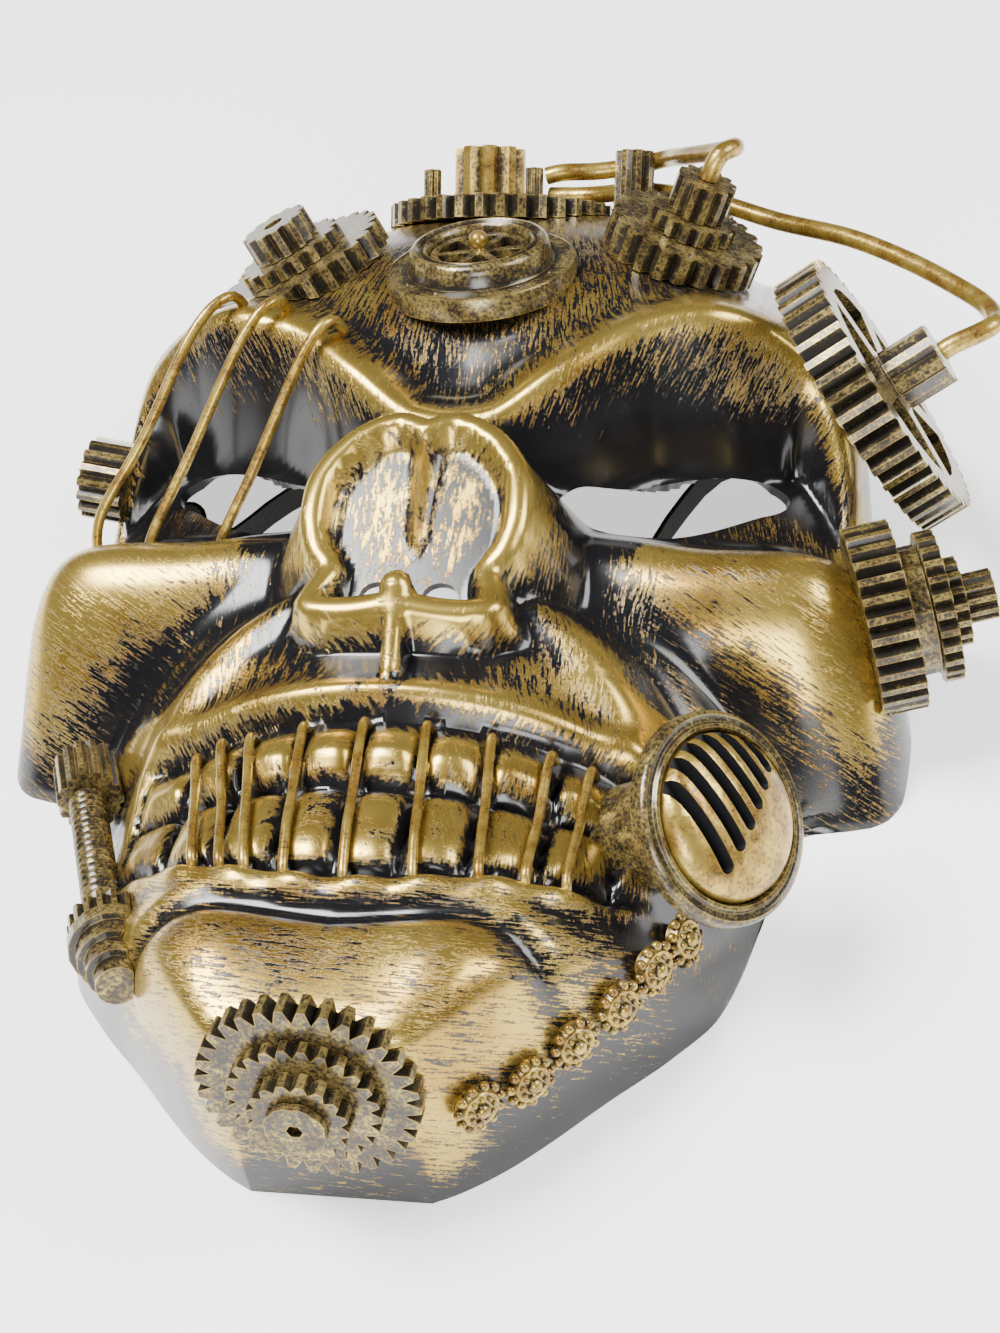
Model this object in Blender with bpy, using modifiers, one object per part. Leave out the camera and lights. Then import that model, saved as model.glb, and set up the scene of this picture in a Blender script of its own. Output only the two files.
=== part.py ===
"""Steampunk skull mask, lying face up on its rim.

+X is the wearer's left, +Y runs from the chin to the forehead, +Z points out of the face.
The rim lies on the plane z = 0. All sizes are in metres.
"""
import math
from collections import namedtuple

import bmesh
import bpy
import numpy as np
from mathutils import Matrix, Vector

MM = 0.001

# Driving sizes of the moulded face
MASK_LENGTH = 262 * MM
HALF_WIDTH = 91 * MM
FACE_DEPTH = 66 * MM
WALL = 2.0 * MM
FIT_GAP = 0.3 * MM
SEAT_SINK = 2.5 * MM

# Fineness of the moulded face
GRID_ACROSS = 151
GRID_ALONG = 201
FACE_TRIANGLES = 1700
CURVE_STEPS = 6

# Edges of the face
RIM_TUCK = 3.0 * MM
CHIN_ROUND = 5.0 * MM
CHIN_SQUARE = 6.0
RIM_SQUARE = 24.0
EDGE_FALL = 0.5

# Forehead, brow and eye socket
FOREHEAD_FULL = 2.5
BROW_ROLL = 4.0 * MM
BROW_BACK_SLOPE = 0.55
SOCKET_SLOPE = 3.0
SOCKET_BLEND = 3.5 * MM
FACE_BLEND = 3.0 * MM
VALE_DEPTH = 3.0 * MM
VALE_HALF = 13.0 * MM

# Cheek plates
CHEEK_FOOT = 88.5 * MM
CHEEK_LIP = 3.0 * MM
CHEEK_SWELL = 1.12
CHEEK_BACK_SLOPE = 1.05
CHEEK_ROLL = 7.5 * MM
CHEEK_SQUARE = 14.0
CHEEK_BLEND = 6.0 * MM

# Folds and channels pressed into the face
FOLD_HEIGHT = 3.0 * MM
FOLD_HALF = 4.5 * MM
GROOVE_DEPTH = 2.2 * MM
GROOVE_HALF = 4.0 * MM
CREASE_DEPTH = 2.6 * MM
CREASE_HALF = 2.6 * MM
CHANNEL_DEPTH = 2.0 * MM
CHANNEL_HALF = 6.5 * MM
CHIN_BUMP_HEIGHT = 1.6 * MM
CHIN_BUMP_X = 18.6 * MM
CHIN_BUMP_Y = 19.0 * MM
CHIN_BUMP_HALF = 8.0 * MM

# Mouth
TOOTH_PITCH = 11.3 * MM
TOOTH_OFFSET = -2.4 * MM
MOUTH_HALF = 47.0 * MM
LOWER_GUM = 36.5 * MM
BITE_LINE = 55.5 * MM
UPPER_GUM = 72.0 * MM
LOWER_GUM_RISE = 10.5 * MM
BITE_RISE = 3.0 * MM
UPPER_GUM_DROP = 1.5 * MM
MOUTH_DEPTH = 3.4 * MM
UPPER_TOOTH_HEIGHT = 6.0 * MM
LOWER_TOOTH_HEIGHT = 4.8 * MM
LIP_HEIGHT = 2.2 * MM
LIP_HALF = 3.4 * MM
GUM_HEIGHT = 1.2 * MM
GUM_HALF = 2.6 * MM

# Nose
NOSE_TUBE = 3.2 * MM
NOSE_WALL_SLOPE = 2.0
NOSE_FOOT_SLOPE = 4.5
NOSE_FLOOR = 48.8 * MM
NOSE_FLOOR_SLOPE = 0.40
NOSE_BRIDGE_HALF = 5.0 * MM
NOSE_BLEND = 1.6 * MM
SPINE_RADIUS = 2.1 * MM
SPINE_BALL = 3.3 * MM
NOSTRIL_X = 6.0 * MM
NOSTRIL_Y = 98.6 * MM
NOSTRIL_HALF_X = 3.6 * MM
NOSTRIL_HALF_Y = 3.0 * MM

# Wires, hoses and strap
EYE_WIRE = 1.1 * MM
MOUTH_WIRE = 0.9 * MM
HOSE_RADIUS = 2.0 * MM
STRAP_WIDTH = 6.0 * MM
STRAP_THICK = 1.0 * MM
STRAP_LIFT = 0.2 * MM
WIRE_SLACK = 0.5 * MM

# Sections of the plan outline
# Columns: along as a share of MASK_LENGTH, half width as a share of HALF_WIDTH
OutlineRow = namedtuple("OutlineRow", "along half")
OUTLINE = [OutlineRow(*row) for row in (
    (0.000, 0.176), (0.008, 0.220), (0.027, 0.297), (0.046, 0.357), (0.088, 0.473),
    (0.126, 0.582), (0.164, 0.665), (0.244, 0.725), (0.321, 0.764), (0.332, 0.791),
    (0.342, 0.923), (0.353, 0.967), (0.374, 0.992), (0.427, 1.000), (0.477, 0.978),
    (0.515, 0.940), (0.553, 0.907), (0.611, 0.890), (0.687, 0.874), (0.782, 0.797),
    (0.859, 0.670), (0.916, 0.527), (0.954, 0.407), (0.981, 0.286), (0.996, 0.154),
    (1.000, 0.099))]

# Arches of jaw and muzzle
# Columns: along, half width, crown as a share of FACE_DEPTH, fullness and fall of the arch
MuzzleRow = namedtuple("MuzzleRow", "along half crown full fall")
MUZZLE = [MuzzleRow(*row) for row in (
    (0.000, 0.220, 0.621, 9.0, 0.50), (0.031, 0.313, 0.656, 9.0, 0.50),
    (0.069, 0.423, 0.667, 8.0, 0.50), (0.099, 0.505, 0.667, 6.0, 0.52),
    (0.134, 0.604, 0.661, 3.4, 0.58), (0.172, 0.681, 0.659, 2.4, 0.70),
    (0.210, 0.714, 0.670, 2.05, 0.80), (0.244, 0.725, 0.682, 2.0, 0.82),
    (0.286, 0.747, 0.697, 2.1, 0.80), (0.332, 0.747, 0.703, 2.3, 0.70),
    (0.382, 0.725, 0.705, 2.4, 0.65), (0.439, 0.681, 0.689, 2.2, 0.70),
    (0.496, 0.615, 0.636, 2.0, 0.80))]
MUZZLE_END = 0.466
MUZZLE_FADE = 1.6

# Crown of the forehead: along, crown
CrownRow = namedtuple("CrownRow", "along crown")
FOREHEAD = [CrownRow(*row) for row in (
    (0.534, 0.758), (0.576, 0.809), (0.611, 0.864), (0.649, 0.912), (0.687, 0.929),
    (0.725, 0.920), (0.763, 0.891), (0.802, 0.845), (0.840, 0.788), (0.878, 0.709),
    (0.916, 0.588), (0.947, 0.455), (0.973, 0.303), (0.992, 0.136), (1.000, 0.000))]

# Crest of the cheek plate: out as a share of HALF_WIDTH, along, height
CrestRow = namedtuple("CrestRow", "out along height")
CHEEK = [CrestRow(*row) for row in (
    (0.000, 0.462, 0.636), (0.220, 0.466, 0.644), (0.385, 0.458, 0.644), (0.582, 0.448, 0.636),
    (0.769, 0.450, 0.629), (0.879, 0.454, 0.606), (0.945, 0.454, 0.561), (1.000, 0.454, 0.500))]

# Brow crest and nose tube: out, along, height
BROW = [CrestRow(*row) for row in (
    (0.000, 0.561, 0.818), (0.055, 0.561, 0.826), (0.115, 0.567, 0.841), (0.231, 0.595, 0.902),
    (0.374, 0.635, 0.933), (0.536, 0.654, 0.939), (0.648, 0.663, 0.864), (0.747, 0.660, 0.742),
    (0.813, 0.641, 0.636), (0.849, 0.611, 0.538), (0.857, 0.580, 0.424), (0.846, 0.550, 0.318),
    (0.824, 0.523, 0.273))]
NOSE = [CrestRow(*row) for row in (
    (0.000, 0.492, 1.000), (0.066, 0.501, 1.000), (0.143, 0.487, 0.985), (0.200, 0.460, 0.955),
    (0.215, 0.430, 0.917), (0.198, 0.405, 0.871), (0.164, 0.387, 0.833), (0.179, 0.366, 0.826),
    (0.182, 0.350, 0.826), (0.099, 0.345, 0.838), (0.000, 0.346, 0.864))]
NOSE_RIDGE = [CrestRow(*row) for row in (
    (0.000, 0.397, 0.740), (0.000, 0.420, 0.850), (0.000, 0.492, 0.990))]
SPINE = [CrestRow(*row) for row in ((0.000, 0.356, 0.900), (0.000, 0.306, 0.758))]

# Floor of the eye socket: out, height
FloorRow = namedtuple("FloorRow", "out height")
SOCKET_FLOOR = [FloorRow(*row) for row in (
    (0.000, 0.697), (0.132, 0.652), (0.220, 0.576), (0.352, 0.500), (0.495, 0.470),
    (0.659, 0.409), (0.769, 0.348), (0.857, 0.303))]

# Lines drawn on the face: out, along
LineRow = namedtuple("LineRow", "out along")
FOLD = [LineRow(*row) for row in (
    (0.264, 0.378), (0.374, 0.351), (0.473, 0.309), (0.538, 0.260), (0.549, 0.221),
    (0.516, 0.187))]
GROOVE = [LineRow(*row) for row in (
    (0.330, 0.405), (0.462, 0.374), (0.571, 0.328), (0.626, 0.275))]
CREASE = [LineRow(*row) for row in (
    (0.000, 0.102), (0.132, 0.106), (0.242, 0.108), (0.330, 0.101), (0.407, 0.080),
    (0.440, 0.057))]
CHANNEL = [LineRow(*row) for row in (
    (0.385, 0.092), (0.440, 0.126), (0.516, 0.172), (0.615, 0.233), (0.725, 0.305))]
EYE_HOLE = [LineRow(*row) for row in (
    (0.225, 0.540), (0.264, 0.553), (0.330, 0.564), (0.418, 0.579), (0.505, 0.593),
    (0.604, 0.603), (0.670, 0.607), (0.714, 0.597), (0.698, 0.580), (0.637, 0.561),
    (0.549, 0.536), (0.473, 0.521), (0.385, 0.515), (0.308, 0.516), (0.253, 0.525))]
SOCKET_FOOT = [LineRow(0.824, 0.450), LineRow(0.000, 0.450)]

# Seats of the ornaments: a point inside the face and the way out through the wall
# Columns: x as a share of HALF_WIDTH, y of MASK_LENGTH, z of FACE_DEPTH, axis
Seat = namedtuple("Seat", "x y z axis")
SEATS = {
    "porthole": Seat(0.011, 0.691, 0.485, (-0.03, 0.22, 0.97)),
    "left_stack": Seat(-0.346, 0.741, 0.439, (-0.42, 0.18, 0.89)),
    "right_stack": Seat(0.325, 0.763, 0.455, (0.38, 0.20, 0.90)),
    "crown": Seat(-0.063, 0.841, 0.376, (0.00, 0.66, 0.75)),
    "crown_post": Seat(0.262, 0.820, 0.367, (0.03, 0.66, 0.75)),
    "temple": Seat(0.894, 0.641, 0.652, (0.84, 0.26, 0.47)),
    "ear": Seat(0.659, 0.431, 0.364, (0.95, 0.25, 0.10)),
    "left_temple": Seat(-0.813, 0.601, 0.400, (-0.95, 0.10, 0.12)),
    "valve": Seat(0.434, 0.247, 0.308, (0.75, -0.30, 0.60)),
    "chin": Seat(0.006, 0.115, 0.418, (-0.02, -0.98, 0.10)),
}
ROSETTES = [Seat(*row) for row in (
    (0.160, 0.063, 0.298, (0.70, -0.70, 0.10)), (0.236, 0.089, 0.270, (0.72, -0.69, 0.10)),
    (0.311, 0.118, 0.282, (0.71, -0.70, 0.12)), (0.370, 0.1435, 0.272, (0.77, -0.61, 0.18)),
    (0.433, 0.167, 0.261, (0.82, -0.51, 0.25)), (0.474, 0.189, 0.187, (0.88, -0.27, 0.38)))]

# Lengths of the left cheek rod, measured on its own axis
ROD_TOP = (-0.747, 0.325, 0.220)
ROD_FOOT = (-0.418, 0.069, 0.462)

# Routes chosen point by point, as shares of half width, length and depth
MOUTH_WIRES = [(-0.400, -0.304), (-0.340, -0.243), (-0.275, -0.190), (-0.160, -0.112),
               (-0.033, 0.004), (0.092, 0.136), (0.218, 0.255), (0.335, 0.335), (0.412, 0.405)]
EYE_WIRE_ROUTES = [
    ((-0.528, 0.675, 0.870), (-0.549, 0.658, 0.985), (-0.620, 0.628, 0.935), (-0.735, 0.570, 0.690),
     (-0.838, 0.530, 0.500), (-0.852, 0.512, 0.330)),
    ((-0.420, 0.668, 0.880), (-0.434, 0.648, 0.995), (-0.500, 0.620, 0.930), (-0.625, 0.560, 0.650),
     (-0.705, 0.518, 0.480), (-0.715, 0.502, 0.400)),
    ((-0.278, 0.648, 0.850), (-0.292, 0.627, 0.980), (-0.350, 0.603, 0.915), (-0.460, 0.545, 0.655),
     (-0.530, 0.508, 0.500), (-0.538, 0.497, 0.420))]
HOSE_TOP_ROUTE = [
    (0.045, 0.926, 0.727), (0.090, 0.928, 0.735), (0.168, 0.936, 0.717), (0.262, 0.939, 0.727),
    (0.346, 0.935, 0.765), (0.410, 0.900, 0.860), (0.509, 0.856, 0.985), (0.553, 0.831, 1.060),
    (0.556, 0.815, 1.095), (0.535, 0.804, 1.105)]
HOSE_SIDE_ROUTE = [
    (0.050, 0.925, 0.650), (0.154, 0.918, 0.667), (0.284, 0.926, 0.660), (0.412, 0.897, 0.709),
    (0.502, 0.882, 0.714), (0.642, 0.855, 0.715), (0.814, 0.817, 0.750), (0.958, 0.779, 0.759),
    (1.074, 0.740, 0.765), (1.131, 0.714, 0.775), (1.152, 0.691, 0.790), (1.142, 0.672, 0.810)]
STRAP_ROUTE = [
    (-0.848, 0.656), (-0.800, 0.672), (-0.755, 0.662), (-0.715, 0.632), (-0.655, 0.640),
    (-0.560, 0.690), (-0.420, 0.725), (-0.250, 0.700), (-0.110, 0.630), (0.020, 0.560),
    (0.170, 0.530), (0.320, 0.570), (0.400, 0.660), (0.500, 0.735), (0.640, 0.745),
    (0.760, 0.700), (0.848, 0.656)]

PARTS = bpy.data.collections.new("steampunk_skull_mask")
CUTTERS = bpy.data.collections.new("cutters")


def clear_scene():
    """Remove what the scene holds and link the two collections."""
    for item in list(bpy.data.objects):
        bpy.data.objects.remove(item)
    bpy.context.scene.collection.children.link(PARTS)
    bpy.context.scene.collection.children.link(CUTTERS)


def material(name, colour, roughness, metallic):
    """One plain Principled material."""
    made = bpy.data.materials.new(name)
    made.use_nodes = True
    shader = made.node_tree.nodes["Principled BSDF"]
    shader.inputs["Base Color"].default_value = (*colour, 1.0)
    shader.inputs["Roughness"].default_value = roughness
    shader.inputs["Metallic"].default_value = metallic
    return made


def steady(rows, column, at):
    """Smooth value of one table column, without overshoot between its rows."""
    xs = np.array([row[0] for row in rows], float)
    ys = np.array([getattr(row, column) for row in rows], float)
    gap = np.diff(xs)
    rise = np.diff(ys) / gap
    slope = np.zeros(len(xs))
    slope[0] = rise[0]
    slope[-1] = rise[-1]
    for k in range(1, len(xs) - 1):
        if rise[k - 1] * rise[k] > 0:
            before = 2 * gap[k] + gap[k - 1]
            after = gap[k] + 2 * gap[k - 1]
            slope[k] = (before + after) / (before / rise[k - 1] + after / rise[k])
    at = np.clip(at, xs[0], xs[-1])
    k = np.clip(np.searchsorted(xs, at) - 1, 0, len(xs) - 2)
    t = (at - xs[k]) / gap[k]
    return ((1 + 2 * t) * (1 - t) ** 2 * ys[k] + t * (1 - t) ** 2 * gap[k] * slope[k]
            + t * t * (3 - 2 * t) * ys[k + 1] + t * t * (t - 1) * gap[k] * slope[k + 1])


def ease(start, end, value):
    """0 before start, 1 past end, smooth between."""
    t = np.clip((value - start) / (end - start), 0, 1)
    return t * t * (3 - 2 * t)


def blend_max(a, b, width):
    """The higher of two surfaces, with a rounded valley between them."""
    share = np.clip(0.5 + 0.5 * (a - b) / width, 0, 1)
    return b + (a - b) * share + width * share * (1 - share)


def arch(share, full, fall):
    """Height of a superellipse arch, 1 at the middle and 0 at the side."""
    return np.clip(1 - np.clip(share, 0, 1) ** full, 0, 1) ** fall


def smooth_line(points, steps=CURVE_STEPS):
    """A smooth curve through the points."""
    p = np.array([points[0]] + list(points) + [points[-1]], float)
    line = []
    for i in range(1, len(p) - 2):
        for t in np.linspace(0, 1, steps, endpoint=False):
            line.append(0.5 * (2 * p[i] + (p[i + 1] - p[i - 1]) * t
                               + (2 * p[i - 1] - 5 * p[i] + 4 * p[i + 1] - p[i + 2]) * t * t
                               + (3 * p[i] - p[i - 1] - 3 * p[i + 1] + p[i + 2]) * t ** 3))
    line.append(p[-2])
    return np.array(line)


def sized(rows):
    """Table rows as metres: x, y and, where the row has a height, z."""
    scale = (HALF_WIDTH, MASK_LENGTH, FACE_DEPTH)
    return [tuple(value * size for value, size in zip(row, scale)) for row in rows]


def nearest(x, y, line):
    """Plan distance from each point to a line, and the line's height there."""
    best = np.full(np.shape(x), MASK_LENGTH)
    height = np.zeros(np.shape(x))
    for a, b in zip(line, line[1:]):
        run = b[:2] - a[:2]
        t = np.clip(((x - a[0]) * run[0] + (y - a[1]) * run[1]) / (run @ run), 0, 1)
        away = np.hypot(x - a[0] - t * run[0], y - a[1] - t * run[1])
        closer = away < best
        best = np.where(closer, away, best)
        if len(a) > 2:
            height = np.where(closer, a[2] + t * (b[2] - a[2]), height)
    return best, height


def within(x, y, outline):
    """True where a point lies inside a closed outline."""
    odd = np.zeros(np.shape(x), bool)
    for (x1, y1), (x2, y2) in zip(outline, np.roll(outline, -1, axis=0)):
        if y1 != y2:
            odd ^= ((y1 > y) != (y2 > y)) & (x < (x2 - x1) * (y - y1) / (y2 - y1) + x1)
    return odd


def hump(distance, half):
    """Bell-shaped weight of a fold or groove."""
    return np.exp(-(distance / half) ** 2)


BROW_LINE = smooth_line(sized(BROW))
NOSE_LINE = smooth_line(sized(NOSE))
RIDGE_LINE = np.array(sized(NOSE_RIDGE))
SPINE_LINE = np.array(sized(SPINE))
SOCKET_AREA = np.vstack([BROW_LINE[:, :2], sized(SOCKET_FOOT)])
NOSE_AREA = np.vstack([NOSE_LINE[:, :2] * (1, 1), NOSE_LINE[::-1, :2] * (-1, 1)])


def half_width(y):
    """Half width of the rim outline at a place along the mask."""
    return HALF_WIDTH * steady(OUTLINE, "half", y / MASK_LENGTH)


def upper_face(out, y, edge):
    """Forehead, brow crest and eye socket."""
    crown = FACE_DEPTH * steady(FOREHEAD, "crown", y / MASK_LENGTH)
    dome = crown * arch(out / edge, FOREHEAD_FULL, EDGE_FALL)
    dome = dome - VALE_DEPTH * hump(out, VALE_HALF) * ease(0.725, 0.603, y / MASK_LENGTH)
    away, crest = nearest(out, y, BROW_LINE)
    rolled = np.sqrt(away * away + BROW_ROLL * BROW_ROLL) - BROW_ROLL
    outer = blend_max(dome, crest - BROW_BACK_SLOPE * rolled, FACE_BLEND)
    floor = FACE_DEPTH * np.interp(out / HALF_WIDTH, [row.out for row in SOCKET_FLOOR],
                                   [row.height for row in SOCKET_FLOOR])
    inner = blend_max(crest - SOCKET_SLOPE * rolled, floor, SOCKET_BLEND)
    return np.where(within(out, y, SOCKET_AREA), inner, outer)


def cheek_plate(out, y, edge):
    """Broad cheek plate that stands forward of the jaw."""
    crest_y = MASK_LENGTH * steady(CHEEK, "along", out / HALF_WIDTH)
    crest_z = FACE_DEPTH * steady(CHEEK, "height", out / HALF_WIDTH)
    climb = np.clip((y - CHEEK_FOOT) / (crest_y - CHEEK_FOOT), 0, 1)
    front = CHEEK_LIP + (crest_z - CHEEK_LIP) * np.sin(climb * math.pi / 2) ** CHEEK_SWELL
    rolled = np.sqrt((y - crest_y) ** 2 + CHEEK_ROLL ** 2) - CHEEK_ROLL
    back = crest_z - CHEEK_BACK_SLOPE * rolled
    plate = np.where(y < crest_y, front, back) * arch(out / edge, CHEEK_SQUARE, EDGE_FALL)
    return np.where(y < CHEEK_FOOT, -FACE_DEPTH, plate)


def muzzle(out, y):
    """Jaw and muzzle arch, with the upright chin wall."""
    along = y / MASK_LENGTH
    half = HALF_WIDTH * steady(MUZZLE, "half", along)
    crown = FACE_DEPTH * steady(MUZZLE, "crown", along)
    body = crown * arch(out / half, steady(MUZZLE, "full", along), steady(MUZZLE, "fall", along))
    body = body * np.sqrt(np.clip(1 - np.clip(1 - y / CHIN_ROUND, 0, 1) ** CHIN_SQUARE, 0, 1))
    return body - MUZZLE_FADE * np.clip(y - MUZZLE_END * MASK_LENGTH, 0, None)


def tooth_place(x, out, y):
    """Gum lines, and where a point lies across and up its tooth."""
    side = np.clip(out / MOUTH_HALF, 0, 1.2) ** 2
    low = LOWER_GUM + LOWER_GUM_RISE * side
    middle = BITE_LINE + BITE_RISE * side
    high = UPPER_GUM - UPPER_GUM_DROP * side
    bay = (x - TOOTH_OFFSET) / TOOTH_PITCH - 0.5
    across = 2 * (bay - np.round(bay))
    return low, middle, high, across


def mouth(x, out, y):
    """Change of height made by lips, gums and two rows of teeth."""
    low, middle, high, across = tooth_place(x, out, y)
    reach = ease(MOUTH_HALF + TOOTH_PITCH * 0.3, MOUTH_HALF - TOOTH_PITCH * 0.2, out)
    belt = ease(low - LIP_HALF, low + MOUTH_WIRE, y) * ease(high + LIP_HALF, high, y) * reach
    crown = np.sqrt(np.clip(1 - np.abs(across) ** 3, 0, 1))
    up = np.clip((y - middle) / (high - middle), 0, 1)
    down = np.clip((y - low) / (middle - low), 0, 1)
    upper = UPPER_TOOTH_HEIGHT * crown * np.interp(
        up, (0, 0.001, 0.1, 0.35, 0.62, 0.999, 1), (0, 0, 0.6, 1.0, 0.8, 0.05, 0))
    lower = LOWER_TOOTH_HEIGHT * crown * np.sqrt(np.clip(1 - np.abs(2 * down - 1) ** 3, 0, 1))
    lip = LIP_HEIGHT * hump(y - high - LIP_HALF * 1.3, LIP_HALF)
    gum = GUM_HEIGHT * hump(y - low + GUM_HALF * 1.5, GUM_HALF) * (
        1 + 0.5 * np.cos(across * math.pi))
    return belt * (upper + lower - MOUTH_DEPTH) + (lip + gum) * reach


def relief(out, y, edge):
    """Folds, channels and the chin's crease and crests."""
    fold, _ = nearest(out, y, FOLD_LINE)
    groove, _ = nearest(out, y, GROOVE_LINE)
    crease, _ = nearest(out, y, CREASE_LINE)
    channel, _ = nearest(out, y, CHANNEL_LINE)
    inside = ease(0.995, 0.90, out / edge)
    bump = np.hypot(out - CHIN_BUMP_X, y - CHIN_BUMP_Y)
    return (FOLD_HEIGHT * hump(fold, FOLD_HALF) - GROOVE_DEPTH * hump(groove, GROOVE_HALF)
            - CREASE_DEPTH * hump(crease, CREASE_HALF) * inside
            - CHANNEL_DEPTH * hump(channel, CHANNEL_HALF) * inside
            + CHIN_BUMP_HEIGHT * hump(bump, CHIN_BUMP_HALF))


def round_rib(away, crest, radius):
    """Height of a half-round rib, far below the face where the rib isn't."""
    top = crest - radius + np.sqrt(np.clip(radius * radius - away * away, 0, None))
    return np.where(away < radius, top, -FACE_DEPTH)


def nose(x, out, y):
    """Nose tube, its sunk floor with the middle ridge, and the spine below it."""
    away, crest = nearest(out, y, NOSE_LINE)
    foot_y = NOSE_LINE[-1][1]
    slope = np.where(y < foot_y, NOSE_FOOT_SLOPE, NOSE_WALL_SLOPE)
    wall = crest - NOSE_TUBE - slope * np.clip(away - NOSE_TUBE * 0.8, 0, None)
    outside = np.where(away < NOSE_TUBE, round_rib(away, crest, NOSE_TUBE), wall)
    floor = NOSE_FLOOR + NOSE_FLOOR_SLOPE * (y - NOSTRIL_Y)
    ridge_away, ridge_top = nearest(out, y, RIDGE_LINE)
    floor = np.maximum(floor, ridge_top - NOSE_FOOT_SLOPE * 0.35 * ridge_away)
    side = crest - NOSE_TUBE - 3.0 * np.clip(away - NOSE_TUBE * 0.7, 0, None)
    floor = blend_max(floor, side, NOSE_BLEND)
    sunk = within(x, y, NOSE_AREA) & (away > NOSE_TUBE * 0.75)
    body = np.where(sunk, floor, outside)
    spine_away, spine_top = nearest(out, y, SPINE_LINE)
    ball = np.hypot(out, y - SPINE_LINE[0][1])
    rod = round_rib(spine_away, spine_top, SPINE_RADIUS)
    knob = round_rib(ball, SPINE_LINE[0][2], SPINE_BALL)
    return body, np.maximum(rod, knob)


FOLD_LINE = smooth_line(sized(FOLD))
GROOVE_LINE = smooth_line(sized(GROOVE))
CREASE_LINE = smooth_line(sized(CREASE))
CHANNEL_LINE = smooth_line(sized(CHANNEL))
NOSE_NEAR = 2 * NOSE_LINE[:, 0].max()
NOSE_LOW = NOSE_LINE[:, 1].min() - 0.05 * MASK_LENGTH
NOSE_HIGH = NOSE_LINE[:, 1].max() + 0.11 * MASK_LENGTH
JAW_TOP = 0.38 * MASK_LENGTH
FACE_START = 0.45 * MASK_LENGTH


def face_height(x, y):
    """Height of the outer face over a point of the plan."""
    x = np.asarray(x, float)
    y = np.asarray(y, float)
    out = np.abs(x)
    edge = half_width(y)
    jaw = muzzle(out, y)
    blend = CHEEK_BLEND * ease(CHEEK_FOOT * 0.95, CHEEK_FOOT * 1.04, y) + WALL * 0.01
    with_cheek = blend_max(jaw, cheek_plate(out, y, edge), blend)
    outer_jaw = (y > CHEEK_FOOT * 0.95) & (out > 0.22 * HALF_WIDTH)
    height = np.where(outer_jaw | (y > JAW_TOP), with_cheek, jaw)
    with_brow = blend_max(height, upper_face(out, y, edge), FACE_BLEND)
    height = np.where(y > FACE_START, with_brow, height)
    height = height + relief(out, y, edge) + mouth(x, out, y)
    body, spine = nose(x, out, y)
    near_nose = (y > NOSE_LOW) & (y < NOSE_HIGH) & (out < NOSE_NEAR)
    height = np.where(near_nose, blend_max(height, body, NOSE_BLEND), height)
    height = np.maximum(height, spine)
    return np.clip(height, 0, None) * arch(out / edge, RIM_SQUARE, EDGE_FALL)


def grid_shares(count, even, reach):
    """Even shares from 0 to 1 that crowd together near 1."""
    s = np.linspace(0, 1, count)
    crowd = 1 - (1 - np.clip((s - even) / (1 - even), 0, 1)) ** 2 * (1 - reach)
    return np.where(s < even, s / even * reach, crowd)


def face_grid():
    """Points of the outer face, row by row, with the rim tucked below the table."""
    half = grid_shares(GRID_ACROSS // 2 + 1, 0.86, 0.955)
    across = np.concatenate([-half[:0:-1], half])
    ends = grid_shares(GRID_ALONG // 2 + 1, 0.93, 0.98)
    along = MASK_LENGTH * (1 + np.concatenate([-ends[:0:-1], ends])) / 2
    y = np.repeat(along[:, None], len(across), axis=1)
    x = across[None, :] * half_width(y)
    z = face_height(x, y)
    z[0] = z[-1] = -RIM_TUCK
    z[:, 0] = z[:, -1] = -RIM_TUCK
    return x, y, z


def add_object(name, mesh, group, finish=None):
    """Link a mesh as an object of a collection."""
    made = bpy.data.objects.new(name, mesh)
    group.objects.link(made)
    if finish:
        mesh.materials.clear()
        mesh.materials.append(finish)
    return made


def evaluated_mesh(item):
    """The mesh of an object with its modifiers applied."""
    bpy.context.view_layer.update()
    graph = bpy.context.evaluated_depsgraph_get()
    return bpy.data.meshes.new_from_object(item.evaluated_get(graph))


def weld(mesh):
    """Join points that lie together."""
    shape = bmesh.new()
    shape.from_mesh(mesh)
    bmesh.ops.remove_doubles(shape, verts=shape.verts, dist=0.01 * MM)
    bmesh.ops.recalc_face_normals(shape, faces=shape.faces)
    shape.to_mesh(mesh)
    shape.free()


def shade(mesh, degrees=35):
    """Smooth shading that keeps edges sharper than the angle."""
    mesh.shade_smooth()
    mesh.set_sharp_from_angle(angle=math.radians(degrees))


def outer_skin():
    """The outer face as an open sheet with few triangles."""
    x, y, z = face_grid()
    rows, columns = x.shape
    points = np.stack([x, y, z], axis=-1).reshape(-1, 3)
    place = np.arange(rows * columns).reshape(rows, columns)
    quads = np.stack([place[:-1, :-1], place[:-1, 1:], place[1:, 1:], place[1:, :-1]], axis=-1)
    mesh = bpy.data.meshes.new("skin")
    mesh.from_pydata(points.tolist(), [], quads.reshape(-1, 4).tolist())
    sheet = add_object("skin", mesh, CUTTERS)
    thin = sheet.modifiers.new("few_triangles", "DECIMATE")
    thin.ratio = FACE_TRIANGLES / (2 * len(mesh.polygons))
    skin = evaluated_mesh(sheet)
    bpy.data.objects.remove(sheet)
    return skin


def cutter(name, mesh):
    """A hidden object that only cuts others."""
    tool = add_object(name, mesh, CUTTERS)
    tool.hide_render = True
    tool.display_type = "WIRE"
    return tool


def cut(item, tool):
    """Cut one object with another."""
    step = item.modifiers.new("cut_by_" + tool.name, "BOOLEAN")
    step.operation = "DIFFERENCE"
    step.solver = "EXACT"
    step.object = tool
    return step


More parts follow.
